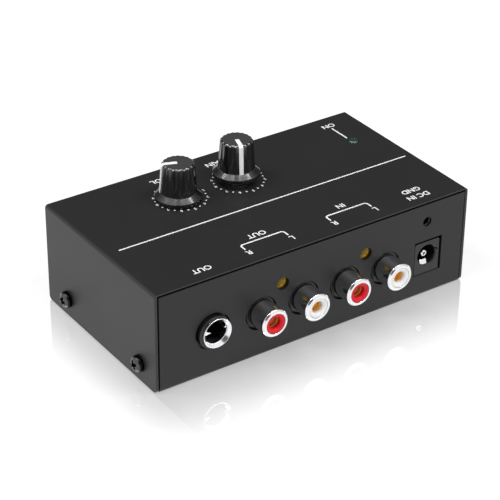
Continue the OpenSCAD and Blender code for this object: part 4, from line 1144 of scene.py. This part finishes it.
class PREAMP_OT_print(PreampOperator):
    """Print the dials, lines and plain labels on the cover"""
    bl_idname = "preamp.legend"
    bl_label = "Printed legend"

    def execute(self, context):
        ink = context.scene.preamp_print
        bm = bmesh.new()
        for centre in DIALS:
            self.dial(bm, ink, Vector(centre) * MM)
        for text, centre in LABELS.items():
            self.words(bm, ink, text, ink.label, Vector(centre) * MM)
        self.line(bm, ink, LAMP_LINE, ink.line)
        self.line(bm, ink, RULE, ink.rule)
        for text, (right, left) in BRACKETS.items():
            self.bracket(bm, ink, right, left)
            for word, x, y in ((text, (left + right) / 2, BRACKET_WORD_Y),
                               ("R", right, CHANNEL_Y), ("L", left, CHANNEL_Y)):
                self.words(bm, ink, word, ink.label, Vector((x, y)) * MM)
        new_piece("printed_legend", bm, "pointer_white")
        return {"FINISHED"}

    def words(self, bm, ink, text, height, centre):
        """Words that read upright from the side away from the socket panel."""
        capital = 0.729               # a capital's share of the font's size
        boldness = 0.02
        curve = bpy.data.curves.new("words", "FONT")
        curve.body = text
        curve.size = height / capital
        curve.align_x = "CENTER"
        curve.align_y = "CENTER"
        curve.extrude = ink.ink / 2
        curve.offset = boldness * height
        curve.resolution_u = 5
        sample = bpy.data.objects.new("words", curve)
        bpy.context.scene.collection.objects.link(sample)
        evaluated = sample.evaluated_get(bpy.context.evaluated_depsgraph_get())
        mesh = bpy.data.meshes.new_from_object(evaluated)
        xs = [v.co.x for v in mesh.vertices]
        ys = [v.co.y for v in mesh.vertices]
        centred = Matrix.Translation((-(min(xs) + max(xs)) / 2, -(min(ys) + max(ys)) / 2, 0))
        place = Matrix.Translation((*centre, TOP_Z + ink.ink / 2))
        mesh.transform(place @ Matrix.Rotation(math.pi, 4, "Z") @ centred)
        bm.from_mesh(mesh)
        bpy.data.objects.remove(sample)
        bpy.data.curves.remove(curve)
        bpy.data.meshes.remove(mesh)

    def line(self, bm, ink, ends, width):
        """Straight stroke with square ends."""
        start, end = [Vector(point) * MM for point in ends]
        run = end - start
        place = (Matrix.Translation((*(start + end) / 2, TOP_Z + ink.ink / 2))
                 @ Matrix.Rotation(math.atan2(run.y, run.x), 4, "Z"))
        add(bm, block((run.length, width, ink.ink), place))

    def bracket(self, bm, ink, right, left):
        """Bracket over two sockets: one path with rounded corners, drawn as a ribbon."""
        corner_y = BRACKET_BAR_Y - BRACKET_CORNER
        path = [(right, BRACKET_FOOT_Y)]
        path += arc((right + BRACKET_CORNER, corner_y), BRACKET_CORNER, 180, 90, 6)
        path += arc((left - BRACKET_CORNER, corner_y), BRACKET_CORNER, 90, 0, 6)
        path.append((left, BRACKET_FOOT_Y))
        points = [Vector(p) * MM for p in path]
        inner, outer = [], []
        for i, point in enumerate(points):
            ahead = points[min(i + 1, len(points) - 1)] - points[max(i - 1, 0)]
            aside = Vector((-ahead.y, ahead.x)).normalized() * ink.line / 2
            inner.append(point - aside)
            outer.append(point + aside)
        place = Matrix.Translation((0, 0, TOP_Z + ink.ink / 2))
        add(bm, extruded(outer + inner[::-1], ink.ink, place))

    def dial(self, bm, ink, centre):
        """Ring of the numbers 0 to 10 with dots between them, 5 towards the socket panel."""
        first, spacing = 150, 15      # degrees; the middle number is at 0
        for i in range(2 * first // spacing + 1):
            turn = math.radians(first - spacing * i)
            radius = ink.dot_radius if i % 2 else ink.dial_radius
            place = centre + Vector((math.sin(turn), -math.cos(turn))) * radius
            if i % 2:
                add(bm, rod(ink.dot, 0, ink.ink, Matrix.Translation((*place, TOP_Z)), 20))
            else:
                self.words(bm, ink, str(i // 2), ink.digit, place)


def shown_rays(tree):
    """1 for the rays that show a backdrop: the camera's, mirrored and transmitted ones."""
    camera = node(tree, "LightPath", output="Is Camera Ray")
    glossy = node(tree, "LightPath", output="Is Glossy Ray")
    through = node(tree, "LightPath", output="Is Transmission Ray")
    return camera.at_least(glossy).at_least(through)


class PREAMP_OT_stage(PreampOperator):
    """Set up the camera, the floor, the lamps and the sky"""
    bl_idname = "preamp.stage"
    bl_label = "Stage"

    def execute(self, context):
        stage = context.scene.preamp_stage
        scene = context.scene
        scene.view_settings.view_transform = "Standard"
        self.camera(scene, stage)
        self.floor(stage)
        self.sky(scene, stage)
        self.strip("left_strip", stage, -1, stage.left)
        self.strip("right_strip", stage, 1, stage.right_lamp)
        return {"FINISHED"}

    def to_viewer(self, stage):
        """Direction from the object to the camera at rest."""
        a, e = stage.azimuth, stage.elevation
        return Vector((math.sin(a) * math.cos(e), -math.cos(a) * math.cos(e), math.sin(e)))

    def camera(self, scene, stage):
        """Camera whose line of sight passes the origin, moved to its right and up from it."""
        back = self.to_viewer(stage)
        right = (-back).cross(Vector((0, 0, 1))).normalized()
        up = right.cross(-back)
        roll = stage.roll
        place = back * stage.distance + right * stage.right + up * stage.rise
        rolled_right = right * math.cos(roll) + up * math.sin(roll)
        rolled_up = up * math.cos(roll) - right * math.sin(roll)
        turn = Matrix((rolled_right, rolled_up, back)).transposed().to_4x4()
        data = bpy.data.cameras.new("camera")
        data.sensor_width = 36
        data.lens = stage.lens
        data.clip_start = 10 * MM
        camera = bpy.data.objects.new("camera", data)
        camera.matrix_world = Matrix.Translation(place) @ turn
        scene.collection.objects.link(camera)
        scene.camera = camera

    def strip(self, name, stage, side, power):
        """Long softbox that runs from over the camera round one side of the object."""
        data = bpy.data.lights.new(name, "AREA")
        data.shape = "RECTANGLE"
        data.size = stage.strip_length
        data.size_y = stage.strip_width
        data.energy = power
        # the two ends' directions: across, away from the camera, and up
        near = Vector((side * 0.13, -0.33, 0.93)).normalized()
        far = Vector((side * 0.65, 0.02, 0.75)).normalized()
        away = (near + far).normalized()
        run = (far - near).normalized()
        turn = Matrix((run, away.cross(run), away)).transposed().to_4x4()
        around = Matrix.Rotation(stage.azimuth, 4, "Z")
        lamp = bpy.data.objects.new(name, data)
        lamp.matrix_world = around @ Matrix.Translation(away * stage.strip_distance) @ turn
        bpy.context.scene.collection.objects.link(lamp)

    def floor(self, stage):
        """Level floor at the height of the case's underside."""
        bm = bmesh.new()
        bmesh.ops.create_grid(bm, x_segments=1, y_segments=1, size=stage.floor)
        mesh = bpy.data.meshes.new("floor")
        bm.to_mesh(mesh)
        bm.free()
        floor = bpy.data.objects.new("floor", mesh)
        bpy.context.scene.collection.objects.link(floor)
        mesh.materials.append(self.floor_finish(stage))

    def floor_finish(self, stage):
        """White acrylic: it shows white, takes soft shade, and mirrors the case close beside it."""
        material, tree = new_tree("white_acrylic")
        where = node(tree, "TexCoord", output="Object")
        out_x = (along(tree, where, X).size() - COVER_HI.x).at_least(0)
        out_y = (along(tree, where, Y).size() - COVER_HI.y).at_least(0)
        away = (out_x * out_x * stage.gloss_fade + out_y * out_y) ** 0.5
        mirror = stage.gloss * (1 - away.smooth(0, stage.gloss_end))
        mirror = mirror * (1 - out_x.smooth(0, 1 * MM) * stage.gloss_step)
        matt, hidden = [node(tree, "BsdfDiffuse", {}, {"Color": (tone, tone, tone, 1)})
                        for tone in (stage.matt, stage.shade)]
        glow = node(tree, "Emission", {}, {"Color": (1, 1, 1, 1), "Strength": stage.glow})
        shown = node(tree, "AddShader", {}, {0: matt, 1: glow})
        base = node(tree, "MixShader", {}, {0: shown_rays(tree), 1: hidden, 2: shown})
        gloss = node(tree, "BsdfGlossy", {}, {"Color": (1, 1, 1, 1), "Roughness": 0.0})
        mixed = node(tree, "MixShader", {}, {0: mirror, 1: base, 2: gloss})
        node(tree, "OutputMaterial", {}, {"Surface": mixed})
        return material

    def sky(self, scene, stage):
        """White room, dim behind the case, which the top reflects, and round the viewer."""
        world = bpy.data.worlds.new("studio")
        world.use_nodes = True
        tree = world.node_tree
        tree.nodes.clear()
        viewer = self.to_viewer(stage)
        behind = Vector((-viewer.x, -viewer.y, viewer.z))
        where = node(tree, "TexCoord", output="Generated")
        lights = 1 - node(tree, "LightPath", output="Is Singular Ray")
        shade = (1, 1, 1)
        for side, start, full, tone in (
                (behind, stage.dim_start, stage.dim_full, stage.dim),
                (viewer, stage.viewer_start, stage.viewer_full, stage.viewer)):
            towards = node(tree, "VectorMath", {"operation": "DOT_PRODUCT"}, {0: where, 1: side},
                           output="Value")
            shade = blend(tree, towards.smooth(start, full) * lights, shade, tone)
        glow = node(tree, "Background", {}, {"Color": shade, "Strength": 1.0})
        node(tree, "OutputWorld", {}, {"Surface": glow})
        scene.world = world


class PREAMP_PT_panel(bpy.types.Panel):
    """Lists the steps that build the preamplifier"""
    bl_idname = "PREAMP_PT_panel"
    bl_label = "Phono preamplifier"
    bl_space_type = "VIEW_3D"
    bl_region_type = "UI"
    bl_category = "Preamplifier"

    def draw(self, context):
        for operator in OPERATORS:
            self.layout.operator(operator.bl_idname)
        for name in GROUPS:
            group = getattr(context.scene, name)
            box = self.layout.box()
            for key in group.__annotations__:
                box.prop(group, key)


GROUPS = {
    "preamp_case": PREAMP_PG_case,
    "preamp_sockets": PREAMP_PG_sockets,
    "preamp_knobs": PREAMP_PG_knobs,
    "preamp_print": PREAMP_PG_print,
    "preamp_finish": PREAMP_PG_finish,
    "preamp_stage": PREAMP_PG_stage,
}
OPERATORS = (
    PREAMP_OT_finishes, PREAMP_OT_cover, PREAMP_OT_chassis, PREAMP_OT_end_screws,
    PREAMP_OT_phone_jack, PREAMP_OT_rca_sockets, PREAMP_OT_housings, PREAMP_OT_rivets,
    PREAMP_OT_ground_nut, PREAMP_OT_power_inlet, PREAMP_OT_lamp, PREAMP_OT_knobs,
    PREAMP_OT_print, PREAMP_OT_stage,
)


def register():
    for cls in (*GROUPS.values(), *OPERATORS, PREAMP_PT_panel):
        bpy.utils.register_class(cls)
    for name, group in GROUPS.items():
        setattr(bpy.types.Scene, name, bpy.props.PointerProperty(type=group))


def unregister():
    for name in GROUPS:
        delattr(bpy.types.Scene, name)
    for cls in reversed((*GROUPS.values(), *OPERATORS, PREAMP_PT_panel)):
        bpy.utils.unregister_class(cls)


def main():
    register()
    for operator in OPERATORS:
        group, name = operator.bl_idname.split(".")
        getattr(getattr(bpy.ops, group), name)()


if __name__ == "__main__":
    main()
